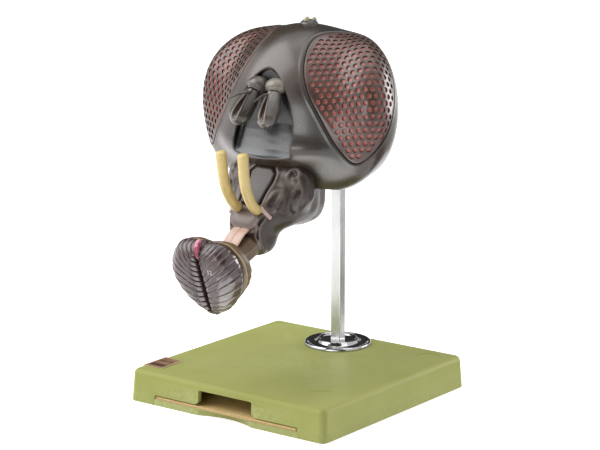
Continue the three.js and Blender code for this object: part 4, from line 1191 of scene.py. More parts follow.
@dataclass
class CompoundEye:
    """A large eye: a rounded skin with even rows of round dimples, painted dark with pink floors; the
    walls' dark paint stands partly for painted shade.
    """

    chart: EyeChart
    pitch: float = 6.1
    plain_band: float = 3.2
    edge_rings: tuple[Pair, ...] = (
        (0.0, 0.8), (0.12, 0.52), (0.3, 0.27), (0.52, 0.09), (0.75, 0.0))
    # Each dimple ring: radius, depth, and the mark that picks its paint: the dark walls, which also stand
    # for painted shade, or the pink floor.
    dimple_rings: tuple[Triple, ...] = (
        (2.34, 0.0, 0.0), (2.2, 0.0, 0.0), (2.1, 0.07, 0.0), (2.04, 0.2, 0.5), (2.01, 0.5, 0.5),
        (1.99, 1.1, 0.5), (1.88, 1.3, 1.0), (1.0, 1.42, 1.0))
    filler: float = 2.6
    thickness: float = 3.0
    settle_rounds: int = 150
    reach: int = 11
    chart_radius: float = 58.0
    filler_radius: float = 55.0
    filler_row: float = 0.87
    under_spacing: float = 9.0
    under_inset: float = 5.0

    def __post_init__(self) -> None:
        """Spread the dimples evenly over the eye."""
        self.heart = np.array(self.chart.heart)
        self.sides = 28
        steps = range(-self.reach, self.reach + 1)
        knots = [(q, r) for q in steps for r in steps if abs(q + r) <= self.reach]
        seats = {knot: i for i, knot in enumerate(knots)}
        flat = np.array([(q + r / 2, 0.866 * r) for q, r in knots]) * self.pitch / self.chart_radius
        ties = np.array([(i, seats[q + a, r + b]) for (q, r), i in seats.items()
                         for a, b in ((1, 0), (0, 1), (1, -1)) if (q + a, r + b) in seats])
        centres = self._draped(self.surface(flat), ties)
        self.centres = centres[self._within(centres, self.plain_band)]
        self.facings = slope_of(HEAD_FORM.gap, self.centres)

    def _draped(self, places: np.ndarray, ties: np.ndarray) -> np.ndarray:
        """Drape a net of equal meshes over the head's form.

        Args:
            places: The net's knots, near the form.
            ties: Index pairs of the knots that one thread joins.

        Returns:
            The knots where the threads are as even as they can be.
        """
        pace = np.zeros_like(places)
        for _ in range(self.settle_rounds):
            way = places[ties[:, 1]] - places[ties[:, 0]]
            length = np.linalg.norm(way, axis=1, keepdims=True)
            pull = way * (1 - self.pitch / length)
            push = np.zeros_like(places)
            np.add.at(push, ties[:, 0], pull)
            np.add.at(push, ties[:, 1], -pull)
            pace = 0.9 * pace + 0.12 * push
            places = self.landed(places + pace, 1)
        return self.landed(places)

    def surface(self, flat: np.ndarray) -> np.ndarray:
        """Give the places on the head's form above places on the chart."""
        return walk_out(HEAD_FORM.gap, self.heart, self.chart.unflat(flat))

    def landed(self, places: np.ndarray, steps: int = 3) -> np.ndarray:
        """Step places close to the head's form onto it."""
        for _ in range(steps):
            places = places - HEAD_FORM.gap(places)[:, None] * slope_of(HEAD_FORM.gap, places)
        return places

    def _within(self, places: np.ndarray, inset: float) -> np.ndarray:
        """Say which places lie on the right eye, further than inset from its margin."""
        return (places[:, 0] > 0) & (self.chart.edge_gap(places) < -inset)

    def _flat(self, places: np.ndarray) -> np.ndarray:
        """Put places on the chart."""
        return self.chart.seen(places)[0]

    def _loops(self) -> list[np.ndarray]:
        """Lay the rings along the eye's margin, from the margin inwards, on the head's form."""
        loop = evenly(smooth_curve(self.chart.margin, 24, closed=True), 12 * self.sides, closed=True)
        flat = self._flat(loop)
        way = unit(np.roll(flat, -1, axis=0) - np.roll(flat, 1, axis=0))
        inward = np.stack([-way[:, 1], way[:, 0]], -1)
        area = flat[:, 0] @ np.roll(flat[:, 1], -1) - flat[:, 1] @ np.roll(flat[:, 0], -1)
        inward *= np.sign(area)
        reach = np.linalg.norm(self.surface(flat) - self.heart, axis=1)[:, None]
        loops = [self.surface(flat + inward * into / reach) for into, _ in self.edge_rings]
        return [loop[::-1] for loop in loops] if area > 0 else loops

    def _dimples(self) -> np.ndarray:
        """Lay the rings of every dimple: dimples, rings, points round a ring, coordinates."""
        across = unit(np.cross(self.facings, (0.0, 0.0, 1.0)))
        up = np.cross(self.facings, across)
        flat = circle(turns(self.sides))
        ring = flat[None, :, :1] * across[:, None] + flat[None, :, 1:] * up[:, None]
        widest = self.dimple_rings[0][0]
        rims = self.landed((self.centres[:, None] + widest * ring).reshape(-1, 3)).reshape(ring.shape)
        out = rims - self.centres[:, None]
        return np.stack([self.centres[:, None] + radius / widest * out - deep * self.facings[:, None]
                         for radius, deep, _ in self.dimple_rings], 1)

    def _fillers(self, spacing: float, inset: float, clear: float) -> np.ndarray:
        """Lay loose points over the eye, clear of its margin and of the dimples."""
        step = spacing / self.filler_radius
        rows = np.arange(-self.chart.span, self.chart.span, step)
        flat = np.array([(x + (i % 2) * step / 2, y)
                         for i, y in enumerate(rows * self.filler_row) for x in rows])
        places = self.surface(flat)
        apart = np.sqrt(((places[:, None] - self.centres[None]) ** 2).sum(axis=2).min(axis=1))
        return places[self._within(places, inset) & (apart > clear)]

    def _web(self, loop: np.ndarray, loops: Sequence[np.ndarray], points: np.ndarray) -> list[list[int]]:
        """Join an outer loop, inner loops and loose points with triangles.

        Args:
            loop: Indices of the outer loop's points.
            loops: Indices of each inner loop's points, which stay open inside.
            points: All points, of which the last ones are loose.

        Returns:
            The triangles, facing out.
        """
        flat = self._flat(points)
        edges = [pair for one in (loop, *loops)
                 for pair in zip(one.tolist(), np.roll(one, -1).tolist())]
        places = [Vector(place) for place in flat.tolist()]
        corners, _, triangles, origin, _, _ = delaunay_2d_cdt(places, edges, [], 0, 1e-9)
        index = np.array([held[0] if held else -1 for held in origin])
        group = np.full(len(points), -1)
        group[loop] = 0
        for number, one in enumerate(loops, 1):
            group[one] = number
        found = index[np.array([list(face) for face in triangles])]
        groups = group[found]
        same = (groups[:, 0] == groups[:, 1]) & (groups[:, 1] == groups[:, 2])
        middle = flat[found].mean(axis=1)
        outside = (groups[:, 0] == 0) & ~self.chart.within(middle, flat[loop])
        found = found[(found >= 0).all(axis=1) & ~(same & (groups[:, 0] > 0)) & ~(same & outside)]
        a, b, c = (points[found[:, i]] for i in range(3))
        inward = (np.cross(b - a, c - a) * (a - self.heart)).sum(axis=1) < 0
        found[inward] = found[inward][:, ::-1]
        return found.tolist()

    def skin(self) -> Skin:
        """Lay out the right eye."""
        edge, dimples = self._loops(), self._dimples()
        facing = slope_of(HEAD_FORM.gap, edge[0])
        bottom = edge[0] - self.thickness * facing
        edge = [loop - sunk * slope_of(HEAD_FORM.gap, loop)
                for loop, (_, sunk) in zip(edge, self.edge_rings)]
        around = len(bottom)
        seats = np.arange((len(edge) + 1) * around).reshape(-1, around)
        start = seats.size
        rings = start + np.arange(dimples.size // 3).reshape(dimples.shape[:3])
        middles = self.centres - self.dimple_rings[-1][1] * self.facings
        middle_seats = start + rings.size + np.arange(len(middles))
        over = self._fillers(self.filler, self.edge_rings[-1][0] + 0.8, self.dimple_rings[0][0] + 0.7)
        under = self._fillers(self.under_spacing, self.under_inset, 0.0)
        under = under - self.thickness * slope_of(HEAD_FORM.gap, under)
        points = np.vstack([bottom, *edge, dimples.reshape(-1, 3), middles, over])
        faces = [face for low, high in zip(seats, seats[1:]) for face in band(low, high)]
        for ring in rings:
            for outer, inner in zip(ring, ring[1:]):
                faces.extend(band(outer, inner))
        for ring, middle in zip(rings[:, -1], middle_seats):
            faces.extend([[int(a), int(b), int(middle)] for a, b in zip(ring, np.roll(ring, -1))])
        loose = np.arange(len(points) - len(over), len(points))
        used = np.concatenate([seats[-1], rings[:, 0].ravel(), loose])
        seat_of = np.full(len(points), -1)
        seat_of[used] = np.arange(len(used))
        web = self._web(seat_of[seats[-1]], [seat_of[ring] for ring in rings[:, 0]], points[used])
        faces.extend(used[np.array(web)].tolist())
        floor = np.vstack([bottom, under])
        below = np.array(self._web(np.arange(around), [], floor))[:, ::-1]
        below = np.where(below < around, below, below - around + len(points))
        faces.extend(below.tolist())
        # The walls' mark gives them the dark paint that doubles as painted shade; the floors' mark gives
        # them pink.
        marks = np.repeat([mark for *_, mark in self.dimple_rings], self.sides)
        masks = np.concatenate([np.zeros(start), np.tile(marks, len(middles)), np.ones(len(middles)),
                                np.zeros(len(over) + len(under))])
        return Skin(np.vstack([points, under]), faces, {"dimple": masks})

    def build(self, fitter: Fitter, side: Side) -> None:
        """Build the eye of one side."""
        fitter.put(self.skin().mirrored(side), f"compound_eye_{side.word}", EYE_PAINT, "eye_paint",
                   f"eye_{side.word}")


@dataclass
class NeckStump:
    """The open stump of the neck at the back of the head."""

    radius: float = 17.0
    bore: float = 10.0
    flange: float = 12.0
    length: float = 7.0
    depth: float = 6.4
    z: float = 14.0
    lip: float = 1.6
    waist: tuple[Pair, ...] = ((0.0, -6.0), (0.6, 1.0), (1.1, 3.0), (0.6, 4.4))

    def build(self, fitter: Fitter) -> None:
        """Build the stump."""
        start = np.array([0.0, HeadShell.neck_from, self.z])
        skin = walk_out(HEAD_FORM.gap, start, np.array([[0.0, 1.0, 0.0]]))[0][1]
        inner, back = skin - self.depth, skin + self.length
        arc = self.lip * (1 - circle(np.linspace(0, np.pi / 2, 7)))
        rim = [(self.radius - x, back - y) for x, y in arc]
        mouth = [(self.bore + x, back - y) for x, y in arc[::-1]]
        waist = [(self.radius - less, skin + y) for less, y in self.waist]
        stump = hoop([(self.bore, inner), (self.flange, inner), (self.flange, inner + 0.2),
                      *waist, *rim, *mouth], 120)
        places = stump.points[:, [0, 2, 1]] + np.array([0, 0, self.z])
        fitter.put(facing_out(places, stump.faces), "neck_collar", HEAD_PAINT, "head_paint", "neck_stump",
                   crease=50)


@dataclass
class Antenna:
    """One antenna: a cup on the face, a hanging club with an open groove, and a stiff arista."""

    root: Triple = (9.4, -33.0, 20.0)
    cup: Triple = (9.3, 8.2, 7.2)
    tip: Triple = (15.7, -56.6, -10.5)
    half_width: float = 9.8
    half_depth: float = 7.4
    narrowing: float = 0.28
    swelling: Pair = (0.05, 0.69)
    tip_share: float = 0.22
    groove: Triple = (2.5, 3.4, 11.5)
    lip_height: float = 0.8
    arista_root: Triple = (8.5, -41.0, 15.0)
    arista_tip: Triple = (13.5, -68.0, 12.0)
    arista_arch: float = 1.5
    arista_radius: float = 1.3
    cup_scale: float = 7.6
    waist_at: float = 4.6
    cup_end: float = 6.2
    cell: float = 0.5
    cup_light: Pair = (0.3, 0.75)
    shade: Pair = (0.75, 0.0)

    def __post_init__(self) -> None:
        """Lay out the club's middle line and its own directions."""
        self.start, self.end = np.array(self.root), np.array(self.tip)
        self.length = float(np.linalg.norm(self.end - self.start))
        self.along = unit(self.end - self.start)
        self.out = unit(np.array([0.0, -1.0, 0.0]) + self.along * self.along[1])
        self.across = np.cross(self.out, self.along)

    def _local(self, places: np.ndarray) -> tuple[np.ndarray, np.ndarray, np.ndarray]:
        """Places as across, out and along the club, measured from its root."""
        away = places - self.start
        return away @ self.across, away @ self.out, away @ self.along

    def club(self, places: np.ndarray) -> np.ndarray:
        """The club as a field."""
        across, out, along = self._local(places)
        share = np.clip(along / self.length, 0, 1)
        first, more = self.swelling
        swell = self.narrowing + (1 - self.narrowing) * np.sin(np.pi * (first + more * share))
        into = np.clip((1 - share) / self.tip_share, 0, 1)
        swell = swell * np.sqrt(np.maximum(1 - (1 - into) ** 2, 1e-4))
        ring = np.sqrt((across / self.half_width) ** 2 + (out / self.half_depth) ** 2 + 1e-9)
        side = (ring - swell) * self.half_depth
        body = np.maximum(side, np.maximum(-along, along - self.length))
        hollow = (self.hollow_reach(places) - 1) * self.groove[0]
        body = body - self.lip_height * bell(hollow - 1.3, 1.0)
        body = np.maximum(body, 0.2 - self._knob(places))
        return soft_max(body, -hollow, 0.8)

    def _knob(self, places: np.ndarray) -> np.ndarray:
        """How far places are outside the cup's plain rounded knob."""
        shares = (places - self.start) / np.array(self.cup)
        return (np.sqrt((shares**2).sum(axis=1) + 1e-9) - 1) * self.cup_scale

    def hollow_reach(self, places: np.ndarray) -> np.ndarray:
        """How far places are from the groove's middle line, 1 at the groove's edge."""
        middle = self.start + 0.6 * self.length * self.along + self.out * self.half_depth * 0.95
        away = places - middle
        down = away @ self.along / self.groove[2]
        wide = self.groove[0] * (0.75 + 0.4 * np.clip(down, -1, 1))
        parts = (away @ self.across / wide, away @ self.out / self.groove[1], down)
        return np.sqrt(sum(part**2 for part in parts) + 1e-9)

    def pedicel(self, places: np.ndarray) -> np.ndarray:
        """The cup as a field: a rounded knob with a ring-shaped waist where the club leaves it."""
        _, _, along = self._local(places)
        waist = 0.5 * bell(along - self.waist_at, 0.8)
        return soft_max(self._knob(places) + waist, along - self.cup_end, 1.2)

    def build(self, fitter: Fitter, side: Side) -> None:
        """Build one side's antenna."""
        cell = self.cell
        club = SurfaceNet(self.club, (-6, -72, -22), (32, -18, 30), cell).skin()
        reach = self.hollow_reach(club.points)
        # The groove's inside is painted reddish-brown and darker, the darkening a painted shade.
        club.masks["hollow"] = np.clip((1.12 - reach) / 0.12, 0, 1)
        # The raised rim round the groove is painted lighter as a painted highlight.
        club.masks["lip"] = bell(reach - 1.42, 0.2)
        club.masks["shade"] = self.shade[side is Side.RIGHT] * (1 - club.masks["lip"])
        fitter.put(club.mirrored(side), f"antenna_club_form_{side.word}", ANTENNA_PAINT, "antenna_paint",
                   f"antenna_club_{side.word}")
        cup = SurfaceNet(self.pedicel, (-2, -45, 8), (22, -21, 32), cell).skin()
        # The cups are painted lighter as a painted highlight, the right one more than the left.
        cup.masks["lip"] = np.full(len(cup.points), self.cup_light[side is Side.RIGHT])
        fitter.put(cup.mirrored(side), f"antenna_cup_{side.word}", ANTENNA_PAINT, "antenna_paint",
                   f"antenna_pedicel_{side.word}")
        self._arista(fitter, side)

    def _arista(self, fitter: Fitter, side: Side) -> None:
        """Build the stiff tapering bristle that stands forward from the club."""
        root, tip = np.array(self.arista_root), np.array(self.arista_tip)
        bend = (root + tip) / 2 + np.array([0, 0, self.arista_arch])

        def size(share: float, angles: np.ndarray) -> np.ndarray:
            """Taper to a rounded tip, with a thicker joint near the root."""
            radius = self.arista_radius * (1 - 0.7 * share) * dome(share, 0, 0.03)
            radius *= 1 + 0.3 * bell(share - 0.3, 0.06)
            return radius * circle(angles)

        skin = sweep([root, bend, tip], size, dome_shares(40, 0, 0.03), 20)
        fitter.put(skin.mirrored(side), f"arista_bristle_{side.word}", ANTENNA_PAINT, "antenna_paint",
                   f"arista_{side.word}")


@dataclass
class Ocelli:
    """Three small domed simple eyes on a low mound at the top of the head."""

    y: float = 25.0
    mound: float = 8.6
    mound_taper: float = 0.42
    height: float = 3.0
    depth: float = 3.0
    spacing: float = 4.2
    lens: float = 2.1
    lens_rim: float = 0.5

    def build(self, fitter: Fitter) -> None:
        """Build the mound and the three lenses."""
        start = np.array([0.0, self.y, 0.0])
        top = walk_out(HEAD_FORM.gap, start, np.array([[0.0, 0.0, 1.0]]))[0][2]
        place = np.array([0.0, self.y, top])
        share = np.linspace(0, 1, 16)
        radii = self.mound * (1 - self.mound_taper * share**1.6)
        heights = (self.height + self.depth) * share**0.8 - self.depth
        profile = [*zip(radii, heights), (radii[-1] - 0.7, self.height), (0.4, self.height)]
        fitter.put(lathe(profile, 72).moved(place), "ocellar_mound", HEAD_PAINT, "head_paint",
                   "ocellar_tubercle")
        dome_radius, rim = self.lens * 0.98, self.lens_rim
        arc = circle(np.linspace(0, 0.97, 12)[1:] * np.pi / 2)
        curve = [(self.lens + 0.35, -0.2), (self.lens + 0.3, 0.35), (dome_radius, rim)]
        curve += [(dome_radius * x, rim + (self.lens - 0.2) * y) for x, y in arc]
        spots = self.spacing * circle(turns(3) - np.pi / 2)
        for name, (x, y) in zip(("front", "right", "left"), spots):
            spot = place + np.array([x, y, self.height - 0.3])
            fitter.put(lathe(curve, 48).moved(spot), f"ocellus_lens_{name}", LENS_PAINT, "ocellus_paint",
                       f"ocellus_{name}")


@dataclass(frozen=True)
class Crease:
    """A line pressed into the rostrum's skin, with the skin rolled up beside it."""

    line: tuple[Triple, ...]
    depth: float
    width: float
    roll: float = 0.0
    roll_at: float = 3.0

    def change(self, places: np.ndarray) -> np.ndarray:
        """How far the crease moves the skin in at places, given with x made positive."""
        gap = line_gap(places, smooth_curve(self.line, 6))
        pressed = self.depth * np.exp(-((gap / self.width) ** 2))
        return pressed - self.roll * np.exp(-(((gap - self.roll_at) / (0.5 * self.roll_at)) ** 2))


@dataclass
class Rostrum:
    """The folded base of the proboscis under the face, with the plate on its front."""

    top: float = -43.5
    slant_front: float = -37.5
    slant_height: float = -51.0
    slant_slope: float = 0.82
    creases: tuple[Crease, ...] = (
        Crease(((30, -36, -50), (27.4, -43.4, -54.5), (24.8, -47.6, -59.3), (23.3, -49.7, -63.8),
                (22.2, -52.6, -69.4), (20.5, -54.7, -74.7)), 4.2, 2.3, 0.8, 4.6),
        Crease(((33, -38, -55), (31.1, -43.7, -60.4), (29.5, -47.0, -66.8), (26.8, -50.0, -72.6),
                (25.3, -51.3, -76.6)), 2.6, 1.4, 0.3, 3.0),
        Crease(((33, -27, -53), (33.2, -32.3, -58.2), (34.4, -34.5, -63.0), (34.1, -40.2, -70.0),
                (33.0, -40.5, -75.5), (31.7, -39.4, -80.4)), 3.2, 1.7, 0.5, 3.8),
        Crease(((25.4, -50.9, -77.3), (26.0, -50.2, -80.6), (27.7, -48.0, -82.8), (29.8, -44.9, -82.4)),
               1.1, 1.2),
        Crease(((16.6, -59.7, -84.5), (14.4, -62.7, -90.0), (13.4, -63.6, -96.6), (13.4, -62.5, -103.5),
                (12.6, -55.0, -114.5)), 1.7, 0.9, 1.0, 2.0),
        Crease(((0, -66.5, -95.6), (9.0, -66.0, -95.2), (12.6, -64.4, -92.2)), 1.3, 0.9, 0.5, 1.8),
    )
    plate_thickness: float = 1.4
    plate_top: float = -47.4
    plate_bottom: float = -75.0
    plate_half: Pair = (12.5, 9.9)
    plate_shoulder: float = 5.0
    plate_back: float = -14.0
    moat: float = 1.5
    cell: float = 0.75
    block_heights: tuple[Pair, Pair] = ((-99.0, -95.0), (-84.0, -79.0))
    block_half: Pair = (11.5, 14.5)
    block_front: Pair = (-54.0, -60.0)
    front: Pair = (-20.0, -26.0)

    def skin_gap(self, places: np.ndarray) -> np.ndarray:
        """How far places are outside the rostrum's plain body."""
        face = self.slant_front - self.slant_slope * (self.slant_height - places[:, 2])
        ahead = (face - places[:, 1]) / math.hypot(1, self.slant_slope)
        return soft_max(ROSTRUM_FORM.gap(places), ahead, 4.0)

    def _outline_gap(self, places: np.ndarray) -> np.ndarray:
        """How far places are outside the plate's outline, as seen from the front."""
        x, _, z = np.abs(places.T)
        z = -z
        share = np.clip((z - self.plate_bottom) / (self.plate_top - self.plate_bottom), 0, 1)
        half = self.plate_half[1] + share * (self.plate_half[0] - self.plate_half[1])
        shoulder = ((x - self.plate_half[0]) + (z - self.plate_top) + self.plate_shoulder) * 0.707
        ends = np.maximum(z - self.plate_top, self.plate_bottom - z)
        return np.maximum(np.maximum(x - half, ends), shoulder)

    def _pressed(self, places: np.ndarray) -> np.ndarray:
        """How far the folds and the groove round the plate move the skin in."""
        spots = np.column_stack([np.abs(places[:, 0]), places[:, 1:]])
        change = sum(crease.change(spots) for crease in self.creases)
        outline = self._outline_gap(spots)
        front = smooth_step(*self.front, spots[:, 1])
        change += front * self.moat * bell(outline - 0.7, 0.8)
        return change - front * bell(outline - 3.0, 1.6)

    def form(self, places: np.ndarray) -> np.ndarray:
        """The rostrum as a field."""
        value = self.skin_gap(places)
        near = np.abs(value) < 7
        value[near] += self._pressed(places[near])
        return soft_max(value, places[:, 2] - self.top, 1.0)

    def plate(self, places: np.ndarray) -> np.ndarray:
        """The front plate as a field."""
        gap = self.skin_gap(places)
        body = soft_max(gap - self.plate_thickness, self._outline_gap(places), 1.8)
        return np.maximum(np.maximum(body, -(gap + 1.2)), places[:, 1] - self.plate_back)

    def build(self, fitter: Fitter) -> None:
        """Build the rostrum and its plate."""
        cell = self.cell
        skin = SurfaceNet(self.form, (-50, -76, -128), (50, 46, -40), cell).skin()
        x, y, z = np.abs(skin.points[:, 0]), skin.points[:, 1], skin.points[:, 2]
        pressed = self._pressed(skin.points)
        # Creases are painted darker as painted shade, and the rolled skin beside them lighter as a painted
        # highlight.
        skin.masks["fold"], skin.masks["crest"] = np.maximum(pressed, 0) / 3, np.maximum(-pressed, 0)
        skin.masks["block"] = (between(*self.block_heights, z) * (1 - smooth_step(*self.block_half, x))
                               * smooth_step(*self.block_front, y))
        fitter.put(skin, "rostrum_folds", FACE_PAINT, "head_paint", "rostrum")
        plate = SurfaceNet(self.plate, (-20, -68, -82), (20, -10, -42), cell * 0.8).skin()
        fitter.put(plate, "clypeus_form", FACE_PAINT, "head_paint", "clypeus_plate")


@dataclass
class Mouthparts:
    """Palps, stubs, haustellum and labrum."""

    palp_curve: tuple[Triple, ...] = (
        (10, -53, -83), (10.2, -66, -74), (10.8, -76, -56), (11.5, -80, -28.5))
    palp_radius: float = 4.6
    palp_root_share: float = 0.92
    stub_curve: tuple[Triple, ...] = ((11, -54, -76), (15, -58, -79), (22, -56, -85.5))
    stub_radius: float = 1.7
    stalk_curve: tuple[Triple, ...] = ((0, -46, -97), (0, -62, -109), (0, -80, -116), (0, -98, -117))
    stalk_root: Pair = (15.0, 11.0)
    stalk_end: Pair = (13.5, 10.0)
    labrum_curve: tuple[Triple, ...] = ((0, -60, -93), (0, -73, -97), (0, -85, -106), (0, -97, -110))
    labrum_half: Pair = (8.25, 1.2)
    labrum_groove: float = 0.55

    def build(self, fitter: Fitter) -> None:
        """Build both sides and the middle pieces."""
        for side in Side:
            self._palp(fitter, side)
            self._stub(fitter, side)
        self._stalk(fitter)
        self._labrum(fitter)

    def _palp(self, fitter: Fitter, side: Side) -> None:
        """Build one palp, a smooth blunt finger that curves up past the face."""
        def size(share: float, angles: np.ndarray) -> np.ndarray:
            """Widen a little towards the blunt rounded tip."""
            swell = self.palp_root_share + (1 - self.palp_root_share) * share
            radius = self.palp_radius * swell * dome(share, 0, 0.035)
            return radius * circle(angles)

        skin = sweep(self.palp_curve, size, dome_shares(60, 0, 0.035, 12), 48)
        fitter.put(skin.mirrored(side), f"palp_finger_{side.word}", PALP_PAINT, "palp_paint",
                   f"palp_{side.word}")

    def _stub(self, fitter: Fitter, side: Side) -> None:
        """Build one short stub of a maxilla."""
        def size(share: float, angles: np.ndarray) -> np.ndarray:
            """Keep the width, with a rounded tip."""
            radius = self.stub_radius * dome(share, 0, 0.1)
            return radius * circle(angles)

        skin = sweep(self.stub_curve, size, dome_shares(24, 0, 0.1), 28)
        fitter.put(skin.mirrored(side), f"maxilla_stub_{side.word}", STUB_PAINT, "maxilla_paint",
                   f"maxilla_{side.word}")

    def _stalk(self, fitter: Fitter) -> None:
        """Build the haustellum, with shallow folds along it."""
        def size(share: float, angles: np.ndarray) -> np.ndarray:
            """Narrow towards the end, and fold the skin along its length."""
            halves = np.array(self.stalk_root) * (1 - share) + np.array(self.stalk_end) * share
            rise = math.sin(math.pi * min(share * 1.2, 1))
            pleat = 1 - 0.018 * (1 + np.cos(9 * angles + 2 * share)) * rise
            ring = 1 - 0.02 * bell(share - 0.82, 0.03)
            return (pleat * ring)[:, None] * halves * circle(angles)

        skin = sweep(self.stalk_curve, size, np.linspace(0, 1, 60), 96)
        fitter.put(skin, "haustellum_stalk", STALK_PAINT, "haustellum_paint", "haustellum")

    def _labrum(self, fitter: Fitter) -> None:
        """Build the pale strip, with a hairline down its middle and rounded edges."""
        def size(share: float, angles: np.ndarray) -> np.ndarray:
            """Give a flattened oval with a shallow groove down its face."""
            across = np.sign(np.cos(angles)) * np.abs(np.cos(angles)) ** 0.55 * self.labrum_half[0]
            across *= 0.9 + 0.1 * math.sin(math.pi * min(share * 1.1, 1))
            deep = np.sign(np.sin(angles)) * np.abs(np.sin(angles)) ** 0.7 * self.labrum_half[1]
            deep *= 1 - 0.45 * bell(across, self.labrum_groove)
            return np.stack([across, deep], -1)

        skin = sweep(self.labrum_curve, size, np.linspace(0, 1, 50), 96)
        # The groove down the middle is painted darker as painted shade.
        skin.masks["groove"] = bell(skin.points[:, 0], self.labrum_groove)
        fitter.put(skin, "labrum_strip", LABRUM_PAINT, "labrum_paint", "labrum")


@dataclass
class Labellum:
    """The proboscis's end: two ribbed cushions, the collar behind them, and the crimson fold."""

    top: Triple = (0.0, -126.0, -96.5)
    tilt: float = 19.9
    outline: tuple[Pair, ...] = (
        (0, 6.5), (2, 3.8), (7, 2.2), (14, 1.8), (21, 3.5), (26.2, 8.7), (30.2, 15), (32.6, 24),
        (32, 33), (28.7, 42.8), (23.2, 52), (15.8, 60.3), (8.4, 65.6), (2.5, 67.3), (0, 65))
    middle: Pair = (12.0, 31.0)
    crest: float = 8.5
    widest: float = -8.0
    back: float = -12.0
    roundness: float = 0.55
    parting: float = 0.5
    ridge_pitch: float = 4.4
    ridge_height: float = 0.72
    ridge_rise: float = 1.75
    ridge_turn: float = 0.0285
    collar_middle: float = 35.0
    collar_rings: tuple[Triple, ...] = (
        (0, 1.02, 0.93), (4.7, 1.05, 0.9), (9.2, 1.0, 0.81), (13, 0.68, 0.6))
    gap: float = 0.3
    tissue_radius: float = 2.6
    tissue_curve: tuple[Triple, ...] = ((0, -1.5, -5), (0, 4.5, 1), (0, 13, 2.2))
    figure_height: float = 3.6
    figure_at: Pair = (12.0, 21.3)
    figure_lift: float = 0.5
    figure_sunk: float = 0.9

    def at(self, across: np.ndarray, down: np.ndarray, forward: np.ndarray) -> np.ndarray:
        """Turn places in the labellum's own plane into places on the head."""
        sin, cos = math.sin(math.radians(self.tilt)), math.cos(math.radians(self.tilt))
        x, y, z = self.top
        return np.stack([x + across, y + sin * down - cos * forward, z - cos * down - sin * forward], -1)

    def build(self, fitter: Fitter) -> None:
        """Build the collar, both cushions, the tissue and the key figures."""
        self._collar(fitter)
        for side in Side:
            skin = self._cushion()
            if side is Side.RIGHT:
                self._figures(fitter, skin)
            fitter.put(skin.mirrored(side), f"cushion_{side.word}", CUSHION_PAINT, "lobe_paint",
                       f"labellum_lobe_{side.word}")
        self._tissue(fitter)

    def _cushion(self) -> Skin:
        """Lay out the right cushion with its raised ridges."""
        sides, domes = ((500, 72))
        ring = evenly(smooth_curve(self.outline, 20, closed=True), sides, closed=True)
        mid_u, mid_v = self.middle
        angles = np.linspace(0, 0.93, domes) * np.pi / 2
        inner = np.linspace(math.cos(angles[-1]) ** self.roundness, 0.012, domes // 3)[1:]
        angles = np.concatenate([angles, np.arccos(inner ** (1 / self.roundness))])
        scales = np.concatenate([[0.6, 0.93, 0.97, 0.99], np.cos(angles) ** self.roundness])
        heights = np.concatenate([
            [self.back, self.back, self.back + 0.5, (self.back + self.widest) / 2],
            self.widest + (self.crest - self.widest) * np.sin(angles)])
        across = np.maximum(mid_u + scales[:, None] * (ring[None, :, 0] - mid_u), 0)
        down = mid_v + scales[:, None] * (ring[None, :, 1] - mid_v)
        forward = np.broadcast_to(heights[:, None], across.shape)
        skin = loft(self.at(across + self.parting / 2, down, forward))
        u = np.concatenate([across.ravel(), [mid_u, mid_u]])
        v = np.concatenate([down.ravel(), [mid_v, mid_v]])
        f = np.concatenate([forward.ravel(), [self.back, self.crest]])
        phase = (v + self.ridge_rise * u) / (1 + self.ridge_turn * u) / self.ridge_pitch
        into = phase - np.floor(phase)
        # The groove between ribs: it shapes the ribs, and the paint darkens it as painted shade.
        valley = bell(np.minimum(into, 1 - into), 0.08)
        # Where each rib's edge is painted lighter, as a painted highlight.
        ridge = bell(into - 0.18, 0.065)
        rib = (1 - valley) * (0.8 + 0.3 * np.sin(np.pi * into) + 0.5 * (0.5 - into))
        shown = smooth_step(self.back + 1, self.widest + 2, f)
        fade = smooth_step(0.4, 2.2, u)
        lift = self.ridge_height * rib * shown * (0.35 + 0.65 * fade)
        broken = 0.75 + 0.25 * np.sin(0.9 * u + 2.3 * np.floor(phase)) * np.cos(0.35 * v)
        skin.points = skin.points + skin.normals() * (lift - 0.5)[:, None]
        # The ribs' edges are painted lighter as a painted highlight.
        skin.masks["ridge"] = 0.8 * ridge * shown * broken * (0.3 + 0.7 * fade)
        # The grooves between the ribs are painted darker as painted shade.
        skin.masks["valley"] = valley * shown
        skin.masks["crimson"] = (1 - smooth_step(0.3, 1.6, u)) * smooth_step(12, 20, v)
        return skin

    def _collar(self, fitter: Fitter) -> None:
        """Build the plain collar, narrowing back to the stalk in soft folds."""
        sides = 240
        rim = [(u, v) for u, v in self.outline if u > self.outline[1][0]]
        low, high = self.outline[1][1], self.outline[-2][1]
        left = [(-u, v) for u, v in rim][::-1]
        ring = evenly(smooth_curve([(0, low), *rim, (0, high), *left], 16, closed=True), sides, closed=True)
        rings = evenly(smooth_curve(self.collar_rings, 12), 44)
        angles = np.arctan2(ring[:, 1] - self.collar_middle, ring[:, 0])
        layers, marks = [], []
        for behind, wide, high_share in rings:
            share = behind / self.collar_rings[-1][0]
            fold = 1 - 0.012 * share * (1 + np.cos(16 * angles + 3 * np.sin(3 * angles)))
            lip = 0.012 * (bell(behind - 1.2, 0.9) - 1)
            across = ring[:, 0] * (wide + lip) * fold
            down = self.collar_middle + (ring[:, 1] - self.collar_middle) * (high_share + lip) * fold
            forward = np.full(sides, self.back - self.gap - behind)
            layers.append(self.at(across, down, forward))
            marks.append(np.full(sides, bell(behind - 1.2, 0.8)))
        skin = loft(np.array(layers))
        # The front edge is painted lighter as a painted highlight.
        skin.masks["rim"] = np.concatenate([*marks, [0, 0]])
        fitter.put(skin, "labellum_collar_form", COLLAR_PAINT, "collar_paint", "labellum_collar")

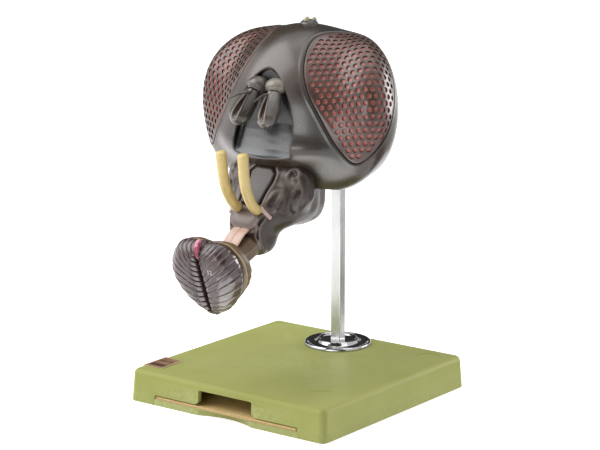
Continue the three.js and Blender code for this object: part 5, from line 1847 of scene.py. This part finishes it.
    def _tissue(self, fitter: Fitter) -> None:
        """Build the small crimson fold at the top of the crease."""
        curve = [self.at(*np.array(place, float)) for place in self.tissue_curve]

        def size(share: float, angles: np.ndarray) -> np.ndarray:
            """Swell and pinch like soft tissue."""
            radius = self.tissue_radius * dome(share, 0.3, 0.3)
            radius *= (1.15 - 0.3 * share) * (1 + 0.08 * math.sin(17 * share))
            radius = radius * (1 - 0.22 * (1 + np.cos(3 * angles + 5 * share)) / 2)
            return radius[:, None] * circle(angles)

        skin = sweep(curve, size, dome_shares(40, 0.3, 0.3), 36)
        # The up-facing top of the fold is painted lighter as a painted highlight.
        skin.masks["light"] = smooth_step(0.1, 0.8, skin.normals()[:, 2])
        fitter.put(skin, "mouth_tissue_fold", TISSUE_PAINT, "tissue_paint", "mouth_tissue")

    def _figures(self, fitter: Fitter, cushion: Skin) -> None:
        """Paint the key figures on the right cushion as a thin raised layer."""
        curve = bpy.data.curves.new("key_figures", "FONT")
        curve.body = "12"
        curve.size = 1.0
        curve.resolution_u = 3
        text = linked("key_figures_source", curve)
        flat = baked(text)
        shape = bmesh.new()
        shape.from_mesh(flat)
        bmesh.ops.triangulate(shape, faces=shape.faces[:])
        corners = np.array([corner.co[:] for corner in shape.verts])
        faces = [[corner.index for corner in face.verts] for face in shape.faces]
        shape.free()
        bpy.data.objects.remove(text)
        bpy.data.meshes.remove(flat)
        height = corners[:, 1].max()
        u = self.figure_at[0] + corners[:, 0] / height * self.figure_height
        v = self.figure_at[1] - corners[:, 1] / height * self.figure_height
        target = self.at(u, v, np.full(len(u), self.crest))
        offsets = ((target[:, None] - cushion.points[None]) ** 2).sum(axis=2).argmin(axis=1)
        nearest, ways = cushion.points[offsets], cushion.normals()[offsets]
        lifted = target + ((nearest - target) * ways).sum(axis=1)[:, None] * ways
        front, back = lifted + self.figure_lift * ways, lifted - self.figure_sunk * ways
        count = len(front)
        edges: dict[tuple[int, int], int] = {}
        for face in faces:
            for a, b in zip(face, face[1:] + face[:1]):
                edges[(a, b)] = edges.get((a, b), 0) + 1
        walls = [[b, a, a + count, b + count] for a, b in edges if (b, a) not in edges]
        under = [[corner + count for corner in face[::-1]] for face in faces]
        skin = Skin(np.vstack([front, back]), faces + under + walls)
        fitter.put(skin, "key_figures", FIGURE_PAINT, "lobe_paint", crease=40)


def carved(piece: bpy.types.Object, cutters: Sequence[bpy.types.Object]) -> None:
    """Cut solids out of a piece and delete them."""
    for cutter in cutters:
        cut = piece.modifiers.new("cut", "BOOLEAN")
        cut.operation = "DIFFERENCE"
        cut.solver = "EXACT"
        cut.object = cutter
    settle(piece)
    for cutter in cutters:
        bpy.data.objects.remove(cutter)


def settle(piece: bpy.types.Object) -> None:
    """Turn a piece's modifiers into its mesh."""
    made = baked(piece)
    piece.modifiers.clear()
    piece.data = made


def prism(outline: Sequence[Pair], y0: float, y1: float) -> Skin:
    """Push an outline in x and z along Y."""
    return loft(np.array([[(x, y, z) for x, z in outline] for y in (y0, y1)], float))


def block(low: Triple, high: Triple) -> Skin:
    """Make a plain box, to cut or to round."""
    (x0, y0, z0), (x1, y1, z1) = low, high
    return loft(np.array([[(x0, y0, z), (x1, y0, z), (x1, y1, z), (x0, y1, z)] for z in (z0, z1)], float))


def rounded(piece: bpy.types.Object, width: float, steps: int = 3, angle: float = 40.0) -> None:
    """Round the sharp edges of a piece, and keep its flats flat in the shading."""
    bevel = piece.modifiers.new("round", "BEVEL")
    bevel.width = width * MM
    bevel.segments = steps
    bevel.limit_method = "ANGLE"
    bevel.angle_limit = math.radians(angle)
    flattened(piece)


def flattened(piece: bpy.types.Object) -> None:
    """Keep a piece's flats flat in the shading, and turn its modifiers into its mesh."""
    weigh = piece.modifiers.new("flats", "WEIGHTED_NORMAL")
    weigh.keep_sharp = True
    settle(piece)


@dataclass
class Stand:
    """The moulded base with its slot and its label, the rosette and the rod."""

    side: float = 205.0
    height: float = 28.0
    draft: float = 1.6
    foot_radius: float = 0.5
    edge_radius: float = 5.0
    corner_radius: float = 6.0
    wall: float = 3.0
    roof: float = 3.2
    inner_radius: float = 3.0
    slot_width: float = 150.0
    slot_top: float = 8.9
    notch_width: float = 55.8
    notch_top: float = 21.4
    notch_flare: float = 4.5
    notch_radius: float = 1.2
    lip_width: float = 152.6
    lip_top: float = 5.8
    past: float = 2.0
    mark_radius: float = 10.6
    mark_depth: float = 0.25
    marks: tuple[Pair, ...] = ((73.0, -67.0), (-79.0, -75.0), (80.0, 79.0), (-84.0, 84.0))
    screw_boss: Pair = (1.8, 4.5)
    screws: tuple[Pair, ...] = ((-84.0, -79.6), (-84.0, 11.0), (84.0, -79.6), (84.0, 11.0))
    rod_boss: Pair = (3.3, 16.0)
    rod_boss_drop: float = 14.0
    rod_at: Pair = (-8.0, 67.5)
    rod_size: Pair = (10.0, 8.0)
    rod_ends: Pair = (18.3, 257.7)
    rod_edge: float = 0.7
    rod_gap: float = 0.3
    stud: tuple[Pair, ...] = ((2.7, 5.4), (3.0, 5.9), (3.0, 18.6))
    rosette_radius: float = 29.5
    rosette_bore: float = 5.0
    rosette_seat: float = 0.3
    rosette_curve: tuple[Pair, ...] = (
        (0.5, 1.9), (1.2, 2.45), (2.2, 2.5), (3.3, 2.0), (4.6, 1.5), (7.4, 1.45), (9.4, 1.9), (10.9, 3.1),
        (12.0, 4.2), (13.0, 4.6), (14.0, 4.1), (15.4, 3.1), (17.6, 2.6), (20.5, 2.4))
    label_at: Pair = (-89.0, -74.0)
    label_half: Pair = (10.0, 15.0)
    label_bottom: float = 28.1
    label_thickness: float = 0.3
    label_bands: tuple[tuple[Pair, Pair], ...] = (
        ((-10.5, -9.8), (-3.9, -3.2)), ((3.0, 3.7), (5.7, 6.4)))

    def build(self, fitter: Fitter) -> None:
        """Build every piece of the stand."""
        self._base(fitter)
        self._label(fitter)
        self._rosette(fitter)
        self._rod(fitter)

    def _square(self, half: float, radius: float, z: float, steps: int = 10) -> np.ndarray:
        """Lay out a square with rounded corners."""
        arc = np.linspace(0, np.pi / 2, steps + 1)
        flat = np.vstack([
            np.array(ways) * (half - radius) + radius * circle(corner * np.pi / 2 + arc)
            for corner, ways in enumerate(((1, 1), (-1, 1), (-1, -1), (1, -1)))])
        return np.column_stack([flat, np.full(len(flat), z)])

    def _moulding(self) -> Skin:
        """Make the base's outer form: a drafted block with rounded edges."""
        half, straight, foot = self.side / 2, self.height - self.edge_radius, self.foot_radius
        drawn_in = half - self.draft * straight / self.height
        rings = [self._square(half - foot, self.corner_radius - foot, 0),
                 self._square(half, self.corner_radius, foot)]
        for in_by, up in self.edge_radius * circle(np.linspace(0, np.pi / 2, 13)):
            drawn = self.edge_radius - in_by
            rings.append(self._square(drawn_in - drawn, max(self.corner_radius - drawn, 0.8),
                                      straight + up))
        return loft(np.array(rings))

    def _inside(self) -> Skin:
        """Make the solid that hollows the base from below."""
        half = self.side / 2 - self.wall
        return loft(np.array([
            self._square(half, self.inner_radius, -self.past), self._square(half, self.inner_radius, 0),
            self._square(half - self.draft - self.wall / 2, self.inner_radius, self.height - self.roof)]))

    def _opening(self) -> Skin:
        """Make the solid that cuts the slot and the finger notch out of the front wall."""
        lip, slot, notch = self.lip_width / 2, self.slot_width / 2, self.notch_width / 2
        flare, edge, front = self.notch_flare, self.notch_radius, -self.side / 2
        right = [(lip, -self.past), (lip, self.lip_top), (slot, self.lip_top), (slot, self.slot_top)]
        right += [(notch + flare * (1 - y), self.slot_top + flare * (1 - x))
                  for x, y in circle(np.linspace(0, np.pi / 2, 9))]
        right += [(notch - edge * (1 - x), self.notch_top - edge * (1 - y))
                  for x, y in circle(np.linspace(0, np.pi / 2, 5))]
        outline = right + [(-x, z) for x, z in reversed(right)]
        return prism(outline, front - 3, front + self.wall + self.draft + 2)

    def _bar(self, wider: float, z0: float, z1: float) -> Skin:
        """Make a bar where the rod stands, wider than it on each side."""
        (x, y), (half_x, half_y) = self.rod_at, (size / 2 + wider for size in self.rod_size)
        return block((x - half_x, y - half_y, z0), (x + half_x, y + half_y, z1))

    def _base(self, fitter: Fitter) -> None:
        """Build the base: hollow below, open at the front, with four faint circles on its roof."""
        mark = lathe([(self.mark_radius, self.height - self.mark_depth),
                      (self.mark_radius + 0.3, self.height + 1)], 72)
        sunk = [mark.moved(np.array([x, y, 0])) for x, y in self.marks]
        hole = self._bar(self.rod_gap, 15, 32)
        cutters = [skin.object("cutter") for skin in (self._inside(), self._opening(), hole, *sunk)]
        piece = fitter.put(self._moulding(), "base_moulding", BASE_PLASTIC, "base_plastic", "base_shell")
        carved(piece, cutters)
        self._bosses(piece)
        piece.data.set_sharp_from_angle(angle=math.radians(35))
        flattened(piece)

    def _bosses(self, piece: bpy.types.Object) -> None:
        """Add the rod's boss and the four screw bosses under the roof."""
        top = self.height - self.roof + 0.5
        shapes = [self._tube(self.screw_boss, self.lip_top, top, place) for place in self.screws]
        shapes.append(self._tube(self.rod_boss, self.height - self.rod_boss_drop, top, self.rod_at))
        shape = bmesh.new()
        shape.from_mesh(piece.data)
        for skin in shapes:
            corners = [shape.verts.new(point * MM) for point in skin.points]
            for face in skin.faces:
                shape.faces.new([corners[i] for i in face]).smooth = True
        shape.to_mesh(piece.data)
        shape.free()

    def _tube(self, radii: Pair, z0: float, z1: float, place: Pair) -> Skin:
        """Make a short tube that stands at a place."""
        bore, radius = radii
        return hoop([(bore, z0), (radius, z0), (radius, z1), (bore, z1)], 48).moved(np.array([*place, 0]))

    def _label(self, fitter: Fitter) -> None:
        """Build the blank foil label, with two bands and a lighter border."""
        (half_w, half_l), (wide, long) = self.label_half, (24, 36)
        u, v = lattice(np.linspace(-half_w, half_w, wide), np.linspace(-half_l, half_l, long)).T
        low = np.column_stack([u, v, np.full(u.size, self.label_bottom)]) + np.array([*self.label_at, 0])
        seats = np.arange(u.size).reshape(wide, long)
        cells = np.stack([seats[:-1, :-1], seats[1:, :-1], seats[1:, 1:], seats[:-1, 1:]], -1)
        cells = cells.reshape(-1, 4)
        edge = np.concatenate([seats[:, 0], seats[-1, 1:], seats[-2::-1, -1], seats[0, -2:0:-1]])
        faces = [*cells.tolist(), *(cells[:, ::-1] + u.size).tolist(), *band(edge + u.size, edge)]
        skin = Skin(np.vstack([low + np.array([0, 0, self.label_thickness]), low]), faces)
        inset = np.minimum(half_w - np.abs(u), half_l - np.abs(v))
        bands = np.maximum(*(between(*ends, v) for ends in self.label_bands))
        skin.masks["border"] = np.tile(1 - smooth_step(0.8, 1.6, inset), 2)
        skin.masks["band"] = np.tile(bands * smooth_step(1.8, 2.4, inset), 2)
        fitter.put(skin, "label_plate", LABEL_FOIL, "label_paper", "name_label", crease=40)

    def _rosette(self, fitter: Fitter) -> None:
        """Build the chrome trim around the rod's foot."""
        radius, inner = self.rosette_radius, self.rosette_curve[-1][1]
        curve = smooth_curve([(radius - inset, z) for inset, z in self.rosette_curve], 8)
        profile = [(radius, 0.0), (radius, 1.2), *map(tuple, curve), (self.rosette_bore, inner)]
        skin = lathe(profile, 160).moved(np.array([*self.rod_at, self.height + self.rosette_seat]))
        fitter.put(skin, "rosette_trim", CHROME, "rosette_chrome", "rosette", crease=50)

    def _rod(self, fitter: Fitter) -> None:
        """Build the flat-sided rod, and the stud under it."""
        stud = lathe(self.stud, 40).moved(np.array([*self.rod_at, 0]))
        skin = joined([self._bar(0, *self.rod_ends), stud])
        rounded(fitter.put(skin, "rod_bar", ROD_METAL, "rod_metal", "support_rod"), self.rod_edge)


@dataclass
class Booklet:
    """The key booklet in the base's slot: a folded cover round a few leaves."""

    half_width: float = 74.0
    front: float = -102.2
    back: float = 2.8
    low: float = 5.8
    fold: float = 1.0
    thickness: float = 0.4
    leaves: int = 4
    leaf_low: float = 0.12
    leaf_pitch: float = 0.26
    leaf_thickness: float = 0.2
    leaf_inset: Pair = (0.8, 0.9)

    def build(self, fitter: Fitter) -> None:
        """Build the folded cover and the leaves inside it."""
        layers = np.array([[(x, y, z) for y, z in self._section()]
                           for x in np.linspace(-self.half_width, self.half_width, 3)])
        seats = np.arange(layers.size // 3).reshape(len(layers), -1)
        faces = [face for near, far in zip(seats, seats[1:]) for face in band(near, far)]
        faces += [seats[0][::-1].tolist(), seats[-1].tolist()]
        fitter.put(facing_out(layers.reshape(-1, 3), faces), "booklet_folded_cover", COVER_CARD,
                   "cover_card", "booklet_cover", crease=35)
        fitter.put(joined([self._leaf(i) for i in range(self.leaves)]), "booklet_leaf_sheets", LEAF_PAPER,
                   "leaf_paper", "booklet_leaves", crease=30)

    def _section(self) -> list[Pair]:
        """Lay out the folded sheet's section: along its outer side, and back along its inner side."""
        arc = circle(np.linspace(-np.pi / 2, np.pi / 2, 13))
        middle = np.array([self.back - self.fold, self.low + self.fold])
        section = []
        for turn in (self.fold * arc, (self.fold - self.thickness) * arc[::-1]):
            section += [(self.front, middle[1] + turn[0][1]), *map(tuple, middle + turn),
                        (self.front, middle[1] + turn[-1][1])]
        return section

    def _leaf(self, number: int) -> Skin:
        """Make one leaf, a little out of line with the others."""
        side, end = self.leaf_inset
        z = self.low + self.thickness + self.leaf_low + number * self.leaf_pitch
        half, start = self.half_width - side, self.front + side + 0.25 * (number % 2) + 0.1 * number
        return block((-half, start, z), (half, self.back - end, z + self.leaf_thickness))


CAD_FINISHES: dict[str, Finish] = {
    "bottom_board": BOARD_PLASTIC,
    **{f"board_screw_{number}": STEEL for number in range(1, 5)},
    "rod_washer": STEEL,
    "rod_nut": STEEL,
    "rod_socket": SOCKET_METAL,
}


def main() -> None:
    """Build the studio and every piece."""
    logging.basicConfig(level=logging.INFO, format="%(message)s")
    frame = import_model()
    Studio().build()
    for node, finish in CAD_FINISHES.items():
        finish.dress(frame["nodes"][node])
    stand = Fitter(WORLD_ORIGIN, Body.STAND)
    head = Fitter(HEAD_CENTRE, Body.HEAD)
    booklet = Fitter(WORLD_ORIGIN, Body.BOOKLET)
    Stand().build(stand)
    Booklet().build(booklet)
    chart = EyeChart()
    HeadShell(chart).build(head)
    eye = CompoundEye(chart)
    for side in Side:
        eye.build(head, side)
        Antenna().build(head, side)
    NeckStump().build(head)
    Ocelli().build(head)
    Rostrum().build(head)
    Mouthparts().build(head)
    Labellum().build(head)


if __name__ == "__main__":
    main()
